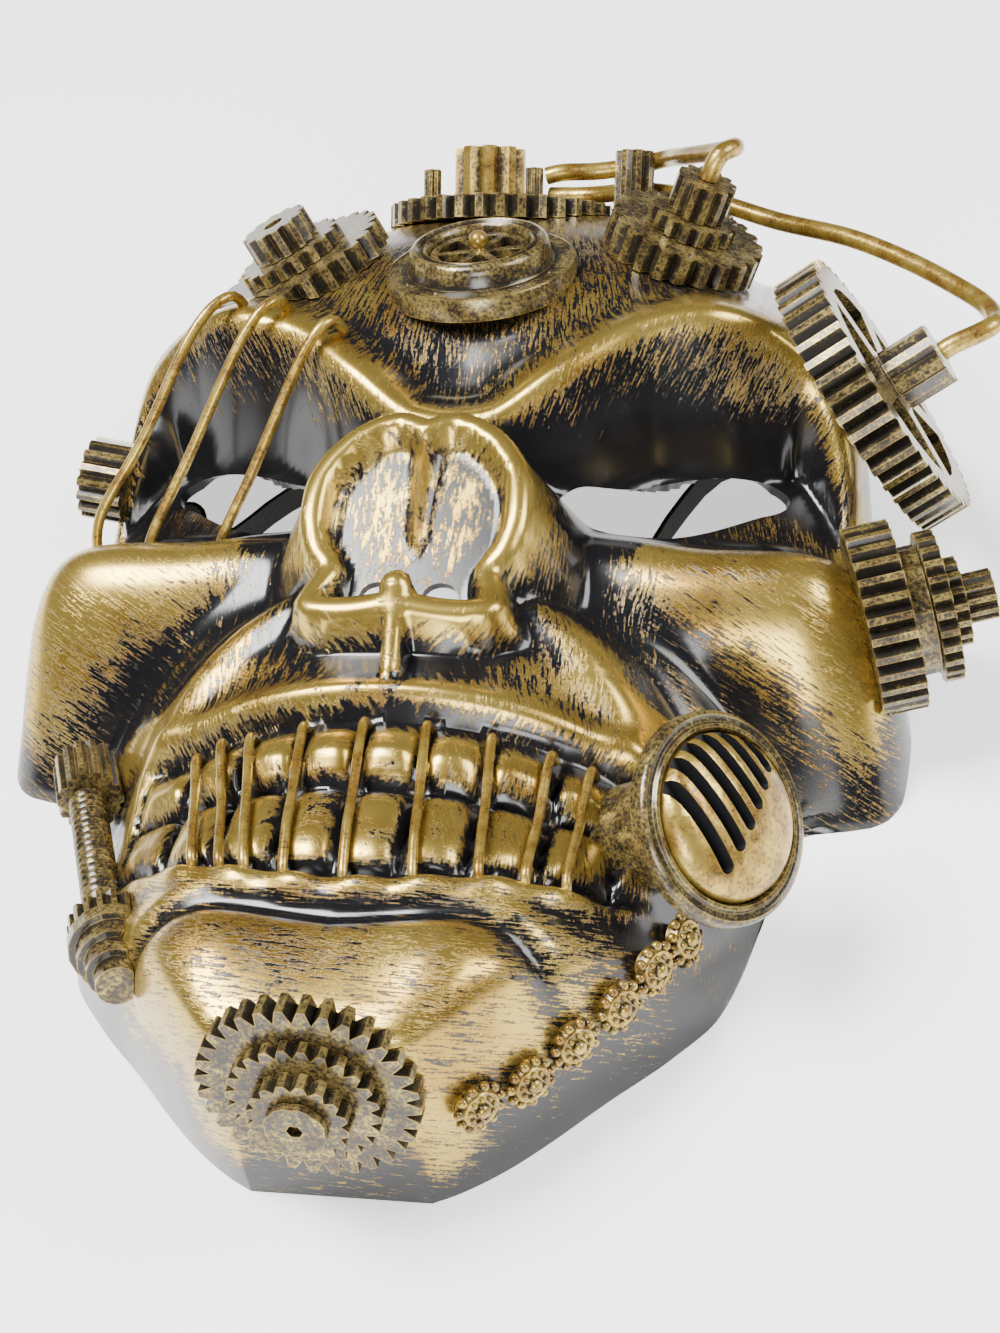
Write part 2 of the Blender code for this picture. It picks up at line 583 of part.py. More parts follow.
def seat_block(skin):
    """Solid under the face, one fit gap proud of it, that trims what sits on the face."""
    mesh = skin.copy()
    shape = bmesh.new()
    shape.from_mesh(mesh)
    shape.normal_update()
    for point in shape.verts:
        point.co += point.normal * FIT_GAP
    rim = [edge for edge in shape.edges if edge.is_boundary]
    skirt = bmesh.ops.extrude_edge_only(shape, edges=rim)["geom"]
    for point in skirt:
        if isinstance(point, bmesh.types.BMVert):
            point.co.z = -FACE_DEPTH
    bottom = [edge for edge in shape.edges if edge.is_boundary]
    bmesh.ops.contextual_create(shape, geom=bottom)
    bmesh.ops.recalc_face_normals(shape, faces=shape.faces)
    bmesh.ops.triangulate(shape, faces=[face for face in shape.faces if len(face.verts) > 4])
    shape.to_mesh(mesh)
    shape.free()
    return cutter("seat_block", mesh)


def flat_mesh(name, outlines, thickness, base=0.0):
    """A flat plate from closed outlines, the later ones being holes."""
    curve = bpy.data.curves.new(name, "CURVE")
    curve.dimensions = "2D"
    curve.fill_mode = "BOTH"
    curve.extrude = thickness / 2
    for outline in outlines:
        line = curve.splines.new("POLY")
        line.points.add(len(outline) - 1)
        line.use_cyclic_u = True
        for point, (px, py) in zip(line.points, outline):
            point.co = (px, py, 0, 1)
    guide = add_object(name + "_guide", curve, CUTTERS)
    mesh = evaluated_mesh(guide)
    bpy.data.objects.remove(guide)
    mesh.transform(Matrix.Translation((0, 0, base + thickness / 2)))
    weld(mesh)
    return mesh


def ring_points(radius, count, phase=0.0):
    """Points of a circle in the plan."""
    turn = [2 * math.pi * (k + phase) / count for k in range(count)]
    return [(radius * math.cos(a), radius * math.sin(a)) for a in turn]


def gear_outline(tip, root, teeth):
    """Outline of a gear: a flat tooth top and a vee between teeth."""
    outline = []
    for k in range(teeth):
        for share, radius in ((0.0, root), (0.32, tip), (0.68, tip)):
            turn = 2 * math.pi * (k + share) / teeth
            outline.append((radius * math.cos(turn), radius * math.sin(turn)))
    return outline


def turned_mesh(name, profile, sides):
    """A turned piece from its outer profile, top to bottom, radius and height."""
    mesh = bpy.data.meshes.new(name)
    edges = [(k, k + 1) for k in range(len(profile) - 1)]
    mesh.from_pydata([(radius, 0, height) for radius, height in profile], edges, [])
    guide = add_object(name + "_guide", mesh, CUTTERS)
    spin = guide.modifiers.new("turn", "SCREW")
    spin.steps = sides
    spin.render_steps = sides
    spin.use_merge_vertices = True
    spin.merge_threshold = 0.01 * MM
    made = evaluated_mesh(guide)
    bpy.data.objects.remove(guide)
    weld(made)
    return made


def tube_mesh(name, points, radius, resolution=2):
    """A round wire or hose along the points, with closed ends."""
    curve = bpy.data.curves.new(name, "CURVE")
    curve.dimensions = "3D"
    curve.bevel_depth = radius
    curve.bevel_resolution = resolution
    curve.use_fill_caps = True
    line = curve.splines.new("POLY")
    line.points.add(len(points) - 1)
    for point, place in zip(line.points, points):
        point.co = (*place, 1)
    guide = add_object(name + "_guide", curve, CUTTERS)
    mesh = evaluated_mesh(guide)
    bpy.data.objects.remove(guide)
    weld(mesh)
    return mesh


def wall_point(seat):
    """Where the way out of a seat meets the face."""
    start = Vector((seat.x * HALF_WIDTH, seat.y * MASK_LENGTH, seat.z * FACE_DEPTH))
    axis = Vector(seat.axis).normalized()
    inner = 0.0
    outer = FACE_DEPTH
    for step in np.linspace(0, FACE_DEPTH, 133):
        place = start + axis * step
        if not is_inside(place):
            outer = step
            break
        inner = step
    for _ in range(20):
        middle = (inner + outer) / 2
        if is_inside(start + axis * middle):
            inner = middle
        else:
            outer = middle
    return start + axis * outer, axis


def is_inside(place):
    """True under the outer face."""
    if not 0 < place.y < MASK_LENGTH:
        return False
    if abs(place.x) >= half_width(place.y):
        return False
    return place.z < face_height(place.x, place.y)


def stand(point, axis, lift=0.0):
    """Place and turn that set a piece's +Z along the axis."""
    turn = Vector(axis).to_track_quat("Z", "Y").to_matrix().to_4x4()
    return Matrix.Translation(Vector(point) + Vector(axis).normalized() * lift) @ turn


def fused(name, meshes):
    """One closed mesh from several that overlap."""
    base = add_object(name + "_base", meshes[0], CUTTERS)
    others = []
    for count, mesh in enumerate(meshes[1:]):
        other = add_object(f"{name}_add_{count}", mesh, CUTTERS)
        step = base.modifiers.new("join", "BOOLEAN")
        step.operation = "UNION"
        step.solver = "EXACT"
        step.object = other
        others.append(other)
    mesh = evaluated_mesh(base)
    for item in [base] + others:
        bpy.data.objects.remove(item)
    return mesh


def piece(name, mesh, finish, place=None, trim=None):
    """A finished sub-part, trimmed by the face where it sits on it."""
    if place is not None:
        mesh.transform(place)
    mesh.name = name
    made = add_object(name, mesh, PARTS, finish)
    if trim is not None:
        cut(made, trim)
    shade(mesh)
    return made


GOLD = material("brushed_gold", (0.45, 0.32, 0.10), 0.35, 0.9)
GREEN_GOLD = material("gear_gold", (0.30, 0.25, 0.10), 0.4, 0.9)
BLACK_GOLD = material("face_black_gold", (0.10, 0.08, 0.03), 0.25, 0.6)
BLACK = material("elastic_black", (0.01, 0.01, 0.01), 0.8, 0.0)


def hole_cutters():
    """Eye holes and nostrils, cut straight down through the face."""
    tools = []
    eye = smooth_line(sized(EYE_HOLE + EYE_HOLE[:1]), 2)[:-1, :2]
    for side, name in ((1, "eye_right"), (-1, "eye_left")):
        outline = [(side * px, py) for px, py in eye]
        tools.append(cutter(name, flat_mesh(name, [outline], FACE_DEPTH)))
    for side, name in ((1, "nostril_right"), (-1, "nostril_left")):
        outline = [(side * NOSTRIL_X + NOSTRIL_HALF_X * px, NOSTRIL_Y + NOSTRIL_HALF_Y * py)
                   for px, py in ring_points(1, 12)]
        tools.append(cutter(name, flat_mesh(name, [outline], FACE_DEPTH)))
    return tools


def build_shell(skin):
    """The moulded face: an even wall behind the outer skin, flat at the rim."""
    shell = add_object("mask_shell", skin, PARTS, BLACK_GOLD)
    wall = shell.modifiers.new("wall", "SOLIDIFY")
    wall.thickness = WALL
    wall.offset = -1
    shape = bmesh.new()
    bmesh.ops.create_cube(shape, size=1)
    table = bpy.data.meshes.new("table")
    shape.to_mesh(table)
    shape.free()
    size = Matrix.Diagonal((4 * HALF_WIDTH, 2 * MASK_LENGTH, FACE_DEPTH, 1))
    table.transform(Matrix.Translation((0, MASK_LENGTH / 2, -FACE_DEPTH / 2)) @ size)
    cut(shell, cutter("table", table))
    for tool in hole_cutters():
        cut(shell, tool)
    close = shell.modifiers.new("close", "WELD")
    close.merge_threshold = 0.03 * MM
    shade(skin, 60)
    return shell


def build_porthole(trim):
    """Flange with a raised double ring, a spoked wheel and its knob."""
    point, axis = wall_point(SEATS["porthole"])
    point = point - axis * 1.4 * MM
    place = stand(point, axis)
    flange_radius = 20.0 * MM
    flange_top = 2.2 * MM
    ring_outer = 15.0 * MM
    ring_inner = 10.6 * MM
    ring_top = 7.2 * MM
    recess = 3.4 * MM
    profile = [(0, recess), (ring_inner, recess), (ring_inner, ring_top - 1.2 * MM),
               (ring_inner + 1.0 * MM, ring_top), (ring_outer - 1.6 * MM, ring_top),
               (ring_outer, ring_top - 2.2 * MM), (ring_outer, flange_top),
               (flange_radius - 0.6 * MM, flange_top), (flange_radius, flange_top - 0.8 * MM),
               (flange_radius, -SEAT_SINK), (0, -SEAT_SINK)]
    piece("forehead_porthole", turned_mesh("porthole", profile, 24), GOLD, place, trim)
    spokes = 6
    hub = 2.4 * MM
    wheel_outer = ring_inner - FIT_GAP
    wheel_inner = wheel_outer - 1.6 * MM
    spoke_half = 0.9 * MM
    outlines = [ring_points(wheel_outer, 24)]
    for k in range(spokes):
        start = 2 * math.pi * k / spokes
        end = 2 * math.pi * (k + 1) / spokes
        near = math.asin(spoke_half / hub)
        far = math.asin(spoke_half / wheel_inner)
        window = [(wheel_inner, start + far), (wheel_inner, (start + end) / 2),
                  (wheel_inner, end - far), (hub, end - near), (hub, start + near)]
        outlines.append([(r * math.cos(a), r * math.sin(a)) for r, a in window])
    wheel_top = 1.6 * MM
    wheel = flat_mesh("wheel", outlines, wheel_top)
    piece("porthole_wheel", wheel, GOLD, stand(point, axis, recess + FIT_GAP))
    knob = 2.0 * MM
    ball = bpy.data.meshes.new("ball")
    shape = bmesh.new()
    bmesh.ops.create_uvsphere(shape, u_segments=10, v_segments=6, radius=knob)
    shape.to_mesh(ball)
    shape.free()
    piece("porthole_knob", ball, GOLD, stand(point, axis, recess + 2 * FIT_GAP + wheel_top + knob))


Gear = namedtuple("Gear", "name tip depth teeth thick bore sides")


def build_stack(seat_name, gears, trim, finish, start=0.0, bury=SEAT_SINK):
    """Gears one on another along the seat's axis. The first is trimmed by the face."""
    point, axis = wall_point(SEATS[seat_name])
    lift = start
    for count, gear in enumerate(gears):
        foot = bury if count == 0 else 0.0
        outlines = [gear_outline(gear.tip, gear.tip - gear.depth, gear.teeth)]
        if gear.bore:
            outlines.append(ring_points(gear.bore, gear.sides))
        mesh = flat_mesh(gear.name, outlines, gear.thick + foot, -foot)
        piece(gear.name, mesh, finish, stand(point, axis, lift), trim if count == 0 else None)
        lift += gear.thick + FIT_GAP
    return point, axis, lift


def build_forehead_stacks(trim):
    """The two gear stacks on the forehead."""
    build_stack("left_stack", [
        Gear("left_forehead_gear", 20.0 * MM, 2.2 * MM, 26, 3.0 * MM, 0, 0),
        Gear("left_forehead_gear_small", 12.0 * MM, 1.6 * MM, 18, 3.0 * MM, 0, 0),
        Gear("left_forehead_pinion", 7.6 * MM, 1.3 * MM, 12, 6.0 * MM, 2.4 * MM, 8)],
        trim, GREEN_GOLD, 0.8 * MM)
    return build_stack("right_stack", [
        Gear("right_forehead_gear", 16.5 * MM, 1.8 * MM, 22, 6.5 * MM, 0, 0),
        Gear("right_forehead_gear_small", 9.5 * MM, 1.3 * MM, 16, 3.4 * MM, 0, 0),
        Gear("right_forehead_pinion", 6.4 * MM, 1.1 * MM, 12, 7.5 * MM, 0, 0)],
        trim, GREEN_GOLD, 0.6 * MM)


def finned_post(radius, fin, count, height, foot=0.0):
    """A post with fins round it, like the teeth of a long pinion."""
    return flat_mesh("post", [gear_outline(radius, radius - fin, count)], height + foot, -foot)


def build_crown(trim):
    """The big gear over the crown with its hub and the posts beside it."""
    point, axis = wall_point(SEATS["crown"])
    thick = 2.6 * MM
    lift = -1.5 * MM
    outline = gear_outline(25.4 * MM, 23.3 * MM, 34)
    gear = flat_mesh("crown_gear", [outline], thick + SEAT_SINK, -SEAT_SINK)
    piece("crown_gear", gear, GREEN_GOLD, stand(point, axis, lift), trim)
    top = lift + thick + FIT_GAP
    hub_height = 13.0 * MM
    hub = finned_post(8.0 * MM, 1.8 * MM, 9, hub_height)
    hub_offset = Vector((-3.0 * MM, 0, 0))
    piece("crown_hub", hub, GOLD, stand(point + hub_offset, axis, top), trim)
    for name, offset in (("crown_post_left", -16.5 * MM), ("crown_post_middle", 7.2 * MM)):
        post = finned_post(2.0 * MM, 0.5 * MM, 6, 8.8 * MM)
        beside = Vector((offset, 0, 0))
        piece(name, post, GREEN_GOLD, stand(point + beside, axis, top), trim)
    point, axis = wall_point(SEATS["crown_post"])
    post = finned_post(4.4 * MM, 0.9 * MM, 8, 15.4 * MM, SEAT_SINK)
    piece("crown_post_right", post, GREEN_GOLD, stand(point, axis), trim)


def build_temple(trim):
    """The deep spoked gear at the right temple, on its finned hub."""
    seat = SEATS["temple"]
    point = Vector((seat.x * HALF_WIDTH, seat.y * MASK_LENGTH, seat.z * FACE_DEPTH))
    axis = Vector(seat.axis).normalized()
    thick = 9.5 * MM
    lift = -thick / 2
    tip = 29.0 * MM
    root = tip - 2.5 * MM
    rim_inner = 22.0 * MM
    hub = 7.4 * MM
    spokes = 5
    spoke_half = 2.6 * MM
    outlines = [gear_outline(tip, root, 44)]
    for k in range(spokes):
        start = 2 * math.pi * k / spokes
        end = 2 * math.pi * (k + 1) / spokes
        near = math.asin(spoke_half / hub)
        far = math.asin(spoke_half / rim_inner)
        window = [(rim_inner, start + far + (end - start - 2 * far) * t / 4) for t in range(5)]
        window += [(hub, end - near), (hub, start + near)]
        outlines.append([(r * math.cos(a), r * math.sin(a)) for r, a in window])
    gear = flat_mesh("temple_gear", outlines, thick)
    stem = 6.0 * MM
    stem_profile = [(0, 1.0 * MM), (stem, 1.0 * MM), (stem, -SEAT_SINK), (0, -SEAT_SINK)]
    boss = turned_mesh("temple_boss", stem_profile, 12)
    piece("temple_gear", fused("temple", [gear, boss]), GREEN_GOLD, stand(point, axis, lift), trim)
    hub_lift = lift + thick + FIT_GAP
    hub_height = 10.5 * MM
    post = finned_post(6.6 * MM, 1.5 * MM, 8, hub_height)
    piece("temple_hub", post, GREEN_GOLD, stand(point, axis, hub_lift))
    return point + axis * (hub_lift + hub_height), axis


def build_ear(trim):
    """The gear stack over the right ear."""
    build_stack("ear", [
        Gear("ear_gear_large", 18.4 * MM, 2.2 * MM, 30, 5.0 * MM, 0, 0),
        Gear("ear_housing", 12.5 * MM, 0.5 * MM, 12, 3.6 * MM, 0, 0),
        Gear("ear_gear_ring", 14.6 * MM, 1.8 * MM, 26, 3.6 * MM, 0, 0),
        Gear("ear_gear_small", 8.6 * MM, 1.4 * MM, 16, 2.8 * MM, 0, 0),
        Gear("ear_pinion", 4.9 * MM, 0.9 * MM, 11, 5.6 * MM, 1.7 * MM, 8)],
        trim, GREEN_GOLD, 0.8 * MM, SEAT_SINK * 1.5)


def build_left_temple(trim):
    """The gear behind the left brow."""
    build_stack("left_temple", [
        Gear("left_temple_gear", 8.8 * MM, 1.3 * MM, 16, 5.5 * MM, 2.4 * MM, 8)],
        trim, GREEN_GOLD, 2.0 * MM, SEAT_SINK * 1.6)


def build_chin(trim):
    """The gear train on the chin: ring, second gear, pinion and cap."""
    build_stack("chin", [
        Gear("chin_gear_ring", 19.0 * MM, 2.7 * MM, 32, 1.8 * MM, 0, 0),
        Gear("chin_gear_second", 13.0 * MM, 1.8 * MM, 24, 2.4 * MM, 0, 0),
        Gear("chin_pinion", 8.6 * MM, 1.3 * MM, 16, 3.2 * MM, 0, 0),
        Gear("chin_cap", 5.3 * MM, 0.3 * MM, 8, 1.4 * MM, 1.4 * MM, 6)],
        trim, GREEN_GOLD, 0.4 * MM)


def build_rosettes(trim):
    """Six beaded rosettes along the right jaw."""
    radius = 4.7 * MM
    lobes = 8
    thick = 2.2 * MM
    for count, seat in enumerate(ROSETTES):
        point, axis = wall_point(seat)
        outline = gear_outline(radius, radius * 0.86, lobes)
        disc = flat_mesh("rosette", [outline], thick + SEAT_SINK, -SEAT_SINK)
        piece(f"jaw_rosette_{count + 1}", disc, GOLD, stand(point, axis, 0.3 * MM), trim)


def build_valve(trim):
    """The round breathing valve on the right cheek, with its slotted cap."""
    point, axis = wall_point(SEATS["valve"])
    flange = 18.8 * MM
    stem = 10.0 * MM
    lip = 15.2 * MM
    stand_off = 19.2 * MM
    deck = 2.4 * MM
    profile = [(0, 0), (lip, 0), (lip, 1.6 * MM), (flange - 0.8 * MM, 1.6 * MM), (flange, 0.8 * MM),
               (flange, -deck), (stem, -deck - 1.5 * MM), (stem, -stand_off - SEAT_SINK * 4),
               (0, -stand_off - SEAT_SINK * 4)]
    body = turned_mesh("valve", profile, 24)
    piece("valve_flange", body, GOLD, stand(point, axis, stand_off), trim)
    cap_radius = lip - FIT_GAP
    cap_profile = [(0, 6.0 * MM), (5.5 * MM, 5.6 * MM), (10.5 * MM, 4.4 * MM),
                   (cap_radius - 1.0 * MM, 2.2 * MM), (cap_radius, 0), (0, 0)]
    cap = turned_mesh("cap", cap_profile, 24)
    slots = 6
    slot_width = 1.2 * MM
    slot_pitch = 3.2 * MM
    slot_floor = 1.6 * MM
    piece_cap = piece("valve_cap", cap, GOLD, stand(point, axis, stand_off + FIT_GAP))
    for k in range(slots):
        across = (k - 1.2) * slot_pitch
        reach = math.sqrt(cap_radius ** 2 - across ** 2) - 3.5 * MM
        left = across - slot_width / 2
        right = across + slot_width / 2
        outline = [(left, -0.5 * MM), (right, -0.5 * MM), (right, reach), (left, reach)]
        mesh = flat_mesh("slot", [outline], FACE_DEPTH, slot_floor)
        mesh.transform(stand(point, axis, stand_off + FIT_GAP) @ Matrix.Rotation(0.6, 4, "Z"))
        cut(piece_cap, cutter(f"slot_{k}", mesh))


def build_cheek_rod(trim):
    """The threaded rod on the left cheek: nut, rod, collar, stepped cone and side gears."""
    scale = (HALF_WIDTH, MASK_LENGTH, FACE_DEPTH)
    top = Vector([share * size for share, size in zip(ROD_TOP, scale)])
    foot = Vector([share * size for share, size in zip(ROD_FOOT, scale)])
    axis = (top - foot).normalized()
    span = (top - foot).length
    cone_length = 15.0 * MM
    collar_length = 5.0 * MM
    nut_length = 13.0 * MM
    discs = 4
    steps = [(0, cone_length)]
    for k in range(discs):
        radius = (7.8 - 1.3 * k) * MM
        upper = cone_length * (1 - k / discs)
        steps += [(radius, upper), (radius, upper - cone_length / discs * 0.7),
                  (radius - 1.3 * MM, upper - cone_length / discs * 0.75)]
    steps += [(0, cone_length * (1 - (discs - 0.25) / discs))]
    piece("rod_cone", turned_mesh("cone", steps, 16), GOLD, stand(foot, axis), trim)
    lift = cone_length + FIT_GAP
    collar = flat_mesh("collar", [gear_outline(7.4 * MM, 6.3 * MM, 18)], collar_length)
    piece("rod_collar", collar, GREEN_GOLD, stand(foot, axis, lift), trim)
    lift += collar_length + FIT_GAP
    rod_length = span - lift - nut_length - FIT_GAP
    ridges = 9
    pitch = rod_length / ridges
    thread = [(0, rod_length)]
    for k in range(ridges):
        upper = rod_length - k * pitch
        thread += [(3.0 * MM, upper), (3.7 * MM, upper - pitch / 2)]
    thread += [(3.0 * MM, 0), (0, 0)]
    piece("threaded_rod", turned_mesh("thread", thread, 10), GREEN_GOLD,
          stand(foot, axis, lift), trim)
    lift += rod_length + FIT_GAP
    nut = flat_mesh("nut", [gear_outline(6.4 * MM, 5.4 * MM, 14)], nut_length)
    piece("rod_nut", nut, GOLD, stand(foot, axis, lift), trim)


def tube_path(route, spacing):
    """Points spaced evenly on the smooth curve through a route."""
    line = smooth_line(sized(route), 12)
    step = np.linalg.norm(np.diff(line, axis=0), axis=1)
    run = np.concatenate([[0], np.cumsum(step)])
    count = max(4, int(round(run[-1] / spacing)) + 1)
    at = np.linspace(0, run[-1], count)
    return [tuple(np.interp(at, run, line[:, axis])[k] for axis in range(3)) for k in range(count)]


def build_eye_wires(trim):
    """Three wires across the left eye socket, from the brow to the cheek."""
    for count, route in enumerate(EYE_WIRE_ROUTES):
        points = tube_path(route, 9.0 * MM)
        piece(f"eye_wire_{count + 1}", tube_mesh("wire", points, EYE_WIRE, 1), GOLD, None, trim)


def wire_height(x, y, radius):
    """Lowest height at which a wire's middle clears the face."""
    reach = radius + FIT_GAP
    best = 0.0
    for shift in np.linspace(-reach, reach, 9):
        lift = math.sqrt(max(reach * reach - shift * shift, 0))
        for slide in (-reach, 0, reach):
            best = max(best, float(face_height(x + shift, y + slide)) + lift)
    return best


def build_mouth_wires(trim):
    """Nine wires that stitch the mouth, one between each pair of teeth."""
    for count, (top, bottom) in enumerate(MOUTH_WIRES):
        top_x = top * HALF_WIDTH
        low_x = bottom * HALF_WIDTH
        low = tooth_place(low_x, abs(low_x), 0)[0] - 2.6 * MM
        high = tooth_place(top_x, abs(top_x), 0)[2] - 0.5 * MM
        points = [(low_x, low, float(face_height(low_x, low)) - WALL / 2)]
        for share in (0.06, 0.25, 0.45, 0.65, 0.82, 0.94):
            x = low_x + (top_x - low_x) * share
            y = low + (high - low) * share
            points.append((x, y, wire_height(x, y, MOUTH_WIRE) + WIRE_SLACK))
        points.append((top_x, high, float(face_height(top_x, high)) - WALL / 2))
        wire = tube_mesh("stitch", points, MOUTH_WIRE, 1)
        piece(f"mouth_wire_{count + 1}", wire, GOLD, None, trim)


def build_hoses(tip, tip_axis, hub, hub_axis):
    """Two hoses from the crown hub, to the right gear stack and to the temple hub."""
    spacing = 2.6 * 2 * HOSE_RADIUS
    top = tube_path(HOSE_TOP_ROUTE, spacing)
    reach = tip + tip_axis * (FIT_GAP + 0.1 * MM)
    top += [tuple(reach + tip_axis * 1.4 * HOSE_RADIUS), tuple(reach)]
    piece("hose_top", tube_mesh("hose_top", top, HOSE_RADIUS), GOLD)
    side = tube_path(HOSE_SIDE_ROUTE, spacing)
    reach = hub + hub_axis * (FIT_GAP + 0.1 * MM)
    side += [tuple(reach + hub_axis * 1.4 * HOSE_RADIUS), tuple(reach)]
    piece("hose_side", tube_mesh("hose_side", side, HOSE_RADIUS), GOLD)


def build_strap():
    """The flat elastic, on edge on the table inside the mask, from temple to temple."""
    line = smooth_line([(x * HALF_WIDTH, y * MASK_LENGTH) for x, y in STRAP_ROUTE], 3)
    run = np.gradient(line, axis=0)
    run /= np.linalg.norm(run, axis=1)[:, None]
    side = np.stack([-run[:, 1], run[:, 0]], axis=1) * STRAP_THICK / 2
    outline = [tuple(p) for p in line + side] + [tuple(p) for p in (line - side)[::-1]]
    mesh = flat_mesh("strap", [outline], STRAP_WIDTH, STRAP_LIFT)
    piece("elastic_strap", mesh, BLACK)


def centre_on_base():
    """Move everything so that the origin lies under the middle of the mask."""
    bpy.context.view_layer.update()
    graph = bpy.context.evaluated_depsgraph_get()
    corners = []
    for item in PARTS.objects:
        if item.name != "elastic_strap":
            corners += [Vector(corner) for corner in item.evaluated_get(graph).bound_box]
    middle = [(min(c[k] for c in corners) + max(c[k] for c in corners)) / 2 for k in range(2)]
    for item in list(PARTS.objects) + list(CUTTERS.objects):
        item.location -= Vector((*middle, 0))


def main():
    """Build the whole mask."""
    clear_scene()
    skin = outer_skin()
    trim = seat_block(skin)
    build_shell(skin)
    build_porthole(trim)
    tip_point, tip_axis, tip_lift = build_forehead_stacks(trim)
    build_crown(trim)
    hub, hub_axis = build_temple(trim)
    build_ear(trim)
    build_left_temple(trim)
    build_chin(trim)
    build_rosettes(trim)
    build_valve(trim)
    build_cheek_rod(trim)
    build_eye_wires(trim)
    build_mouth_wires(trim)
    build_hoses(tip_point + tip_axis * (tip_lift - FIT_GAP), tip_axis, hub, hub_axis)
    build_strap()
    centre_on_base()


main()
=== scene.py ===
"""The looks of the steampunk skull mask, lying face up on its rim.

The frame holds the solids. This add-on lays the finely shaped face, wires, hoses, rosettes,
porthole, valve and rod over them, finishes the gears and the strap, and sets the floor, the
lights and the camera.
+X is the wearer's left, +Y runs from the chin to the forehead, +Z points out of the face.
"""
import math
from collections import namedtuple

import bmesh
import bpy
import numpy as np
from mathutils import Matrix, Vector


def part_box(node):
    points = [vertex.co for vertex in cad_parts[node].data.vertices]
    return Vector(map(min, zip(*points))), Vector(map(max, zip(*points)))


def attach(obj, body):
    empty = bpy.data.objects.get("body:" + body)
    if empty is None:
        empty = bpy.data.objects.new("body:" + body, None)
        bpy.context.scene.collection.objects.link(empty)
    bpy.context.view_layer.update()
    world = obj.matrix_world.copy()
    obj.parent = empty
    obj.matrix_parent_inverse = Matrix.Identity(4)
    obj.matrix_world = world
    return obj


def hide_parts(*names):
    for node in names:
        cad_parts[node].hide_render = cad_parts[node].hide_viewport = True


bl_info = {
    "name": "Steampunk skull mask",
    "version": (1, 0, 0),
    "blender": (4, 5, 0),
    "location": "View3D > Sidebar > Mask",
    "description": "Builds the looks of a steampunk skull mask over its frame",
    "category": "Object",
}

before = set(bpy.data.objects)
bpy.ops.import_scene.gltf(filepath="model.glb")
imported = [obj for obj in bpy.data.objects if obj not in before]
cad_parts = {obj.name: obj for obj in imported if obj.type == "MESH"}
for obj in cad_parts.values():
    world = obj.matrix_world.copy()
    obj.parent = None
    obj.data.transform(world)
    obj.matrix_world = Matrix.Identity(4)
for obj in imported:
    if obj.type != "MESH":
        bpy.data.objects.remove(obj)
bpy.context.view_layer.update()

MM = 0.001

# Driving sizes of the moulded face
MASK_LENGTH = 262 * MM
HALF_WIDTH = 91 * MM
FACE_DEPTH = 66 * MM
WALL = 2.0 * MM
FIT_GAP = 0.3 * MM

# Fineness of the face's grid, of curves and of turned pieces
FINE_ACROSS = 187
FINE_ALONG = 249
CURVE_STEPS = 6
ROUND_SIDES = 72

# Edges of the face
CHIN_ROUND = 5.0 * MM
CHIN_SQUARE = 6.0
RIM_SQUARE = 24.0
EDGE_FALL = 0.5

# Forehead, brow and eye socket
FOREHEAD_FULL = 2.5
BROW_ROLL = 4.0 * MM
BROW_BACK_SLOPE = 0.55
SOCKET_SLOPE = 3.0
SOCKET_BLEND = 3.5 * MM
FACE_BLEND = 3.0 * MM
VALE_DEPTH = 3.0 * MM
VALE_HALF = 13.0 * MM

# Cheek plates
CHEEK_FOOT = 88.5 * MM
CHEEK_LIP = 3.0 * MM
CHEEK_SWELL = 1.12
CHEEK_BACK_SLOPE = 1.05
CHEEK_ROLL = 7.5 * MM
CHEEK_SQUARE = 14.0
CHEEK_BLEND = 6.0 * MM

# Folds and channels pressed into the face
FOLD_HEIGHT = 3.0 * MM
FOLD_HALF = 4.5 * MM
GROOVE_DEPTH = 2.2 * MM
GROOVE_HALF = 4.0 * MM
CREASE_DEPTH = 2.6 * MM
CREASE_HALF = 2.6 * MM
CHANNEL_DEPTH = 2.0 * MM
CHANNEL_HALF = 6.5 * MM
CHIN_BUMP_HEIGHT = 1.6 * MM
CHIN_BUMP_X = 18.6 * MM
CHIN_BUMP_Y = 19.0 * MM
CHIN_BUMP_HALF = 8.0 * MM

# Mouth
TOOTH_PITCH = 11.3 * MM
TOOTH_OFFSET = -2.4 * MM
MOUTH_HALF = 47.0 * MM
LOWER_GUM = 36.5 * MM
BITE_LINE = 55.5 * MM
UPPER_GUM = 72.0 * MM
LOWER_GUM_RISE = 10.5 * MM
BITE_RISE = 3.0 * MM
UPPER_GUM_DROP = 1.5 * MM
MOUTH_DEPTH = 3.4 * MM
UPPER_TOOTH_HEIGHT = 6.0 * MM
LOWER_TOOTH_HEIGHT = 4.8 * MM
LIP_HEIGHT = 2.2 * MM
LIP_HALF = 3.4 * MM
GUM_HEIGHT = 1.2 * MM
GUM_HALF = 2.6 * MM

# Nose
NOSE_TUBE = 3.2 * MM
NOSE_WALL_SLOPE = 2.0
NOSE_FOOT_SLOPE = 4.5
NOSE_FLOOR = 48.8 * MM
NOSE_FLOOR_SLOPE = 0.40
NOSE_BLEND = 1.6 * MM
SPINE_RADIUS = 2.1 * MM
SPINE_BALL = 3.3 * MM
NOSTRIL_X = 6.0 * MM
NOSTRIL_Y = 98.6 * MM
NOSTRIL_HALF_X = 3.6 * MM
NOSTRIL_HALF_Y = 3.0 * MM

# Wires, hoses and strap
EYE_WIRE = 1.1 * MM
MOUTH_WIRE = 0.9 * MM
HOSE_RADIUS = 2.0 * MM
WIRE_SLACK = 0.5 * MM
WIRE_LOW_PAST = 2.6 * MM
WIRE_HIGH_SHORT = 0.5 * MM
WIRE_SHARES = (0.06, 0.25, 0.45, 0.65, 0.82, 0.94)

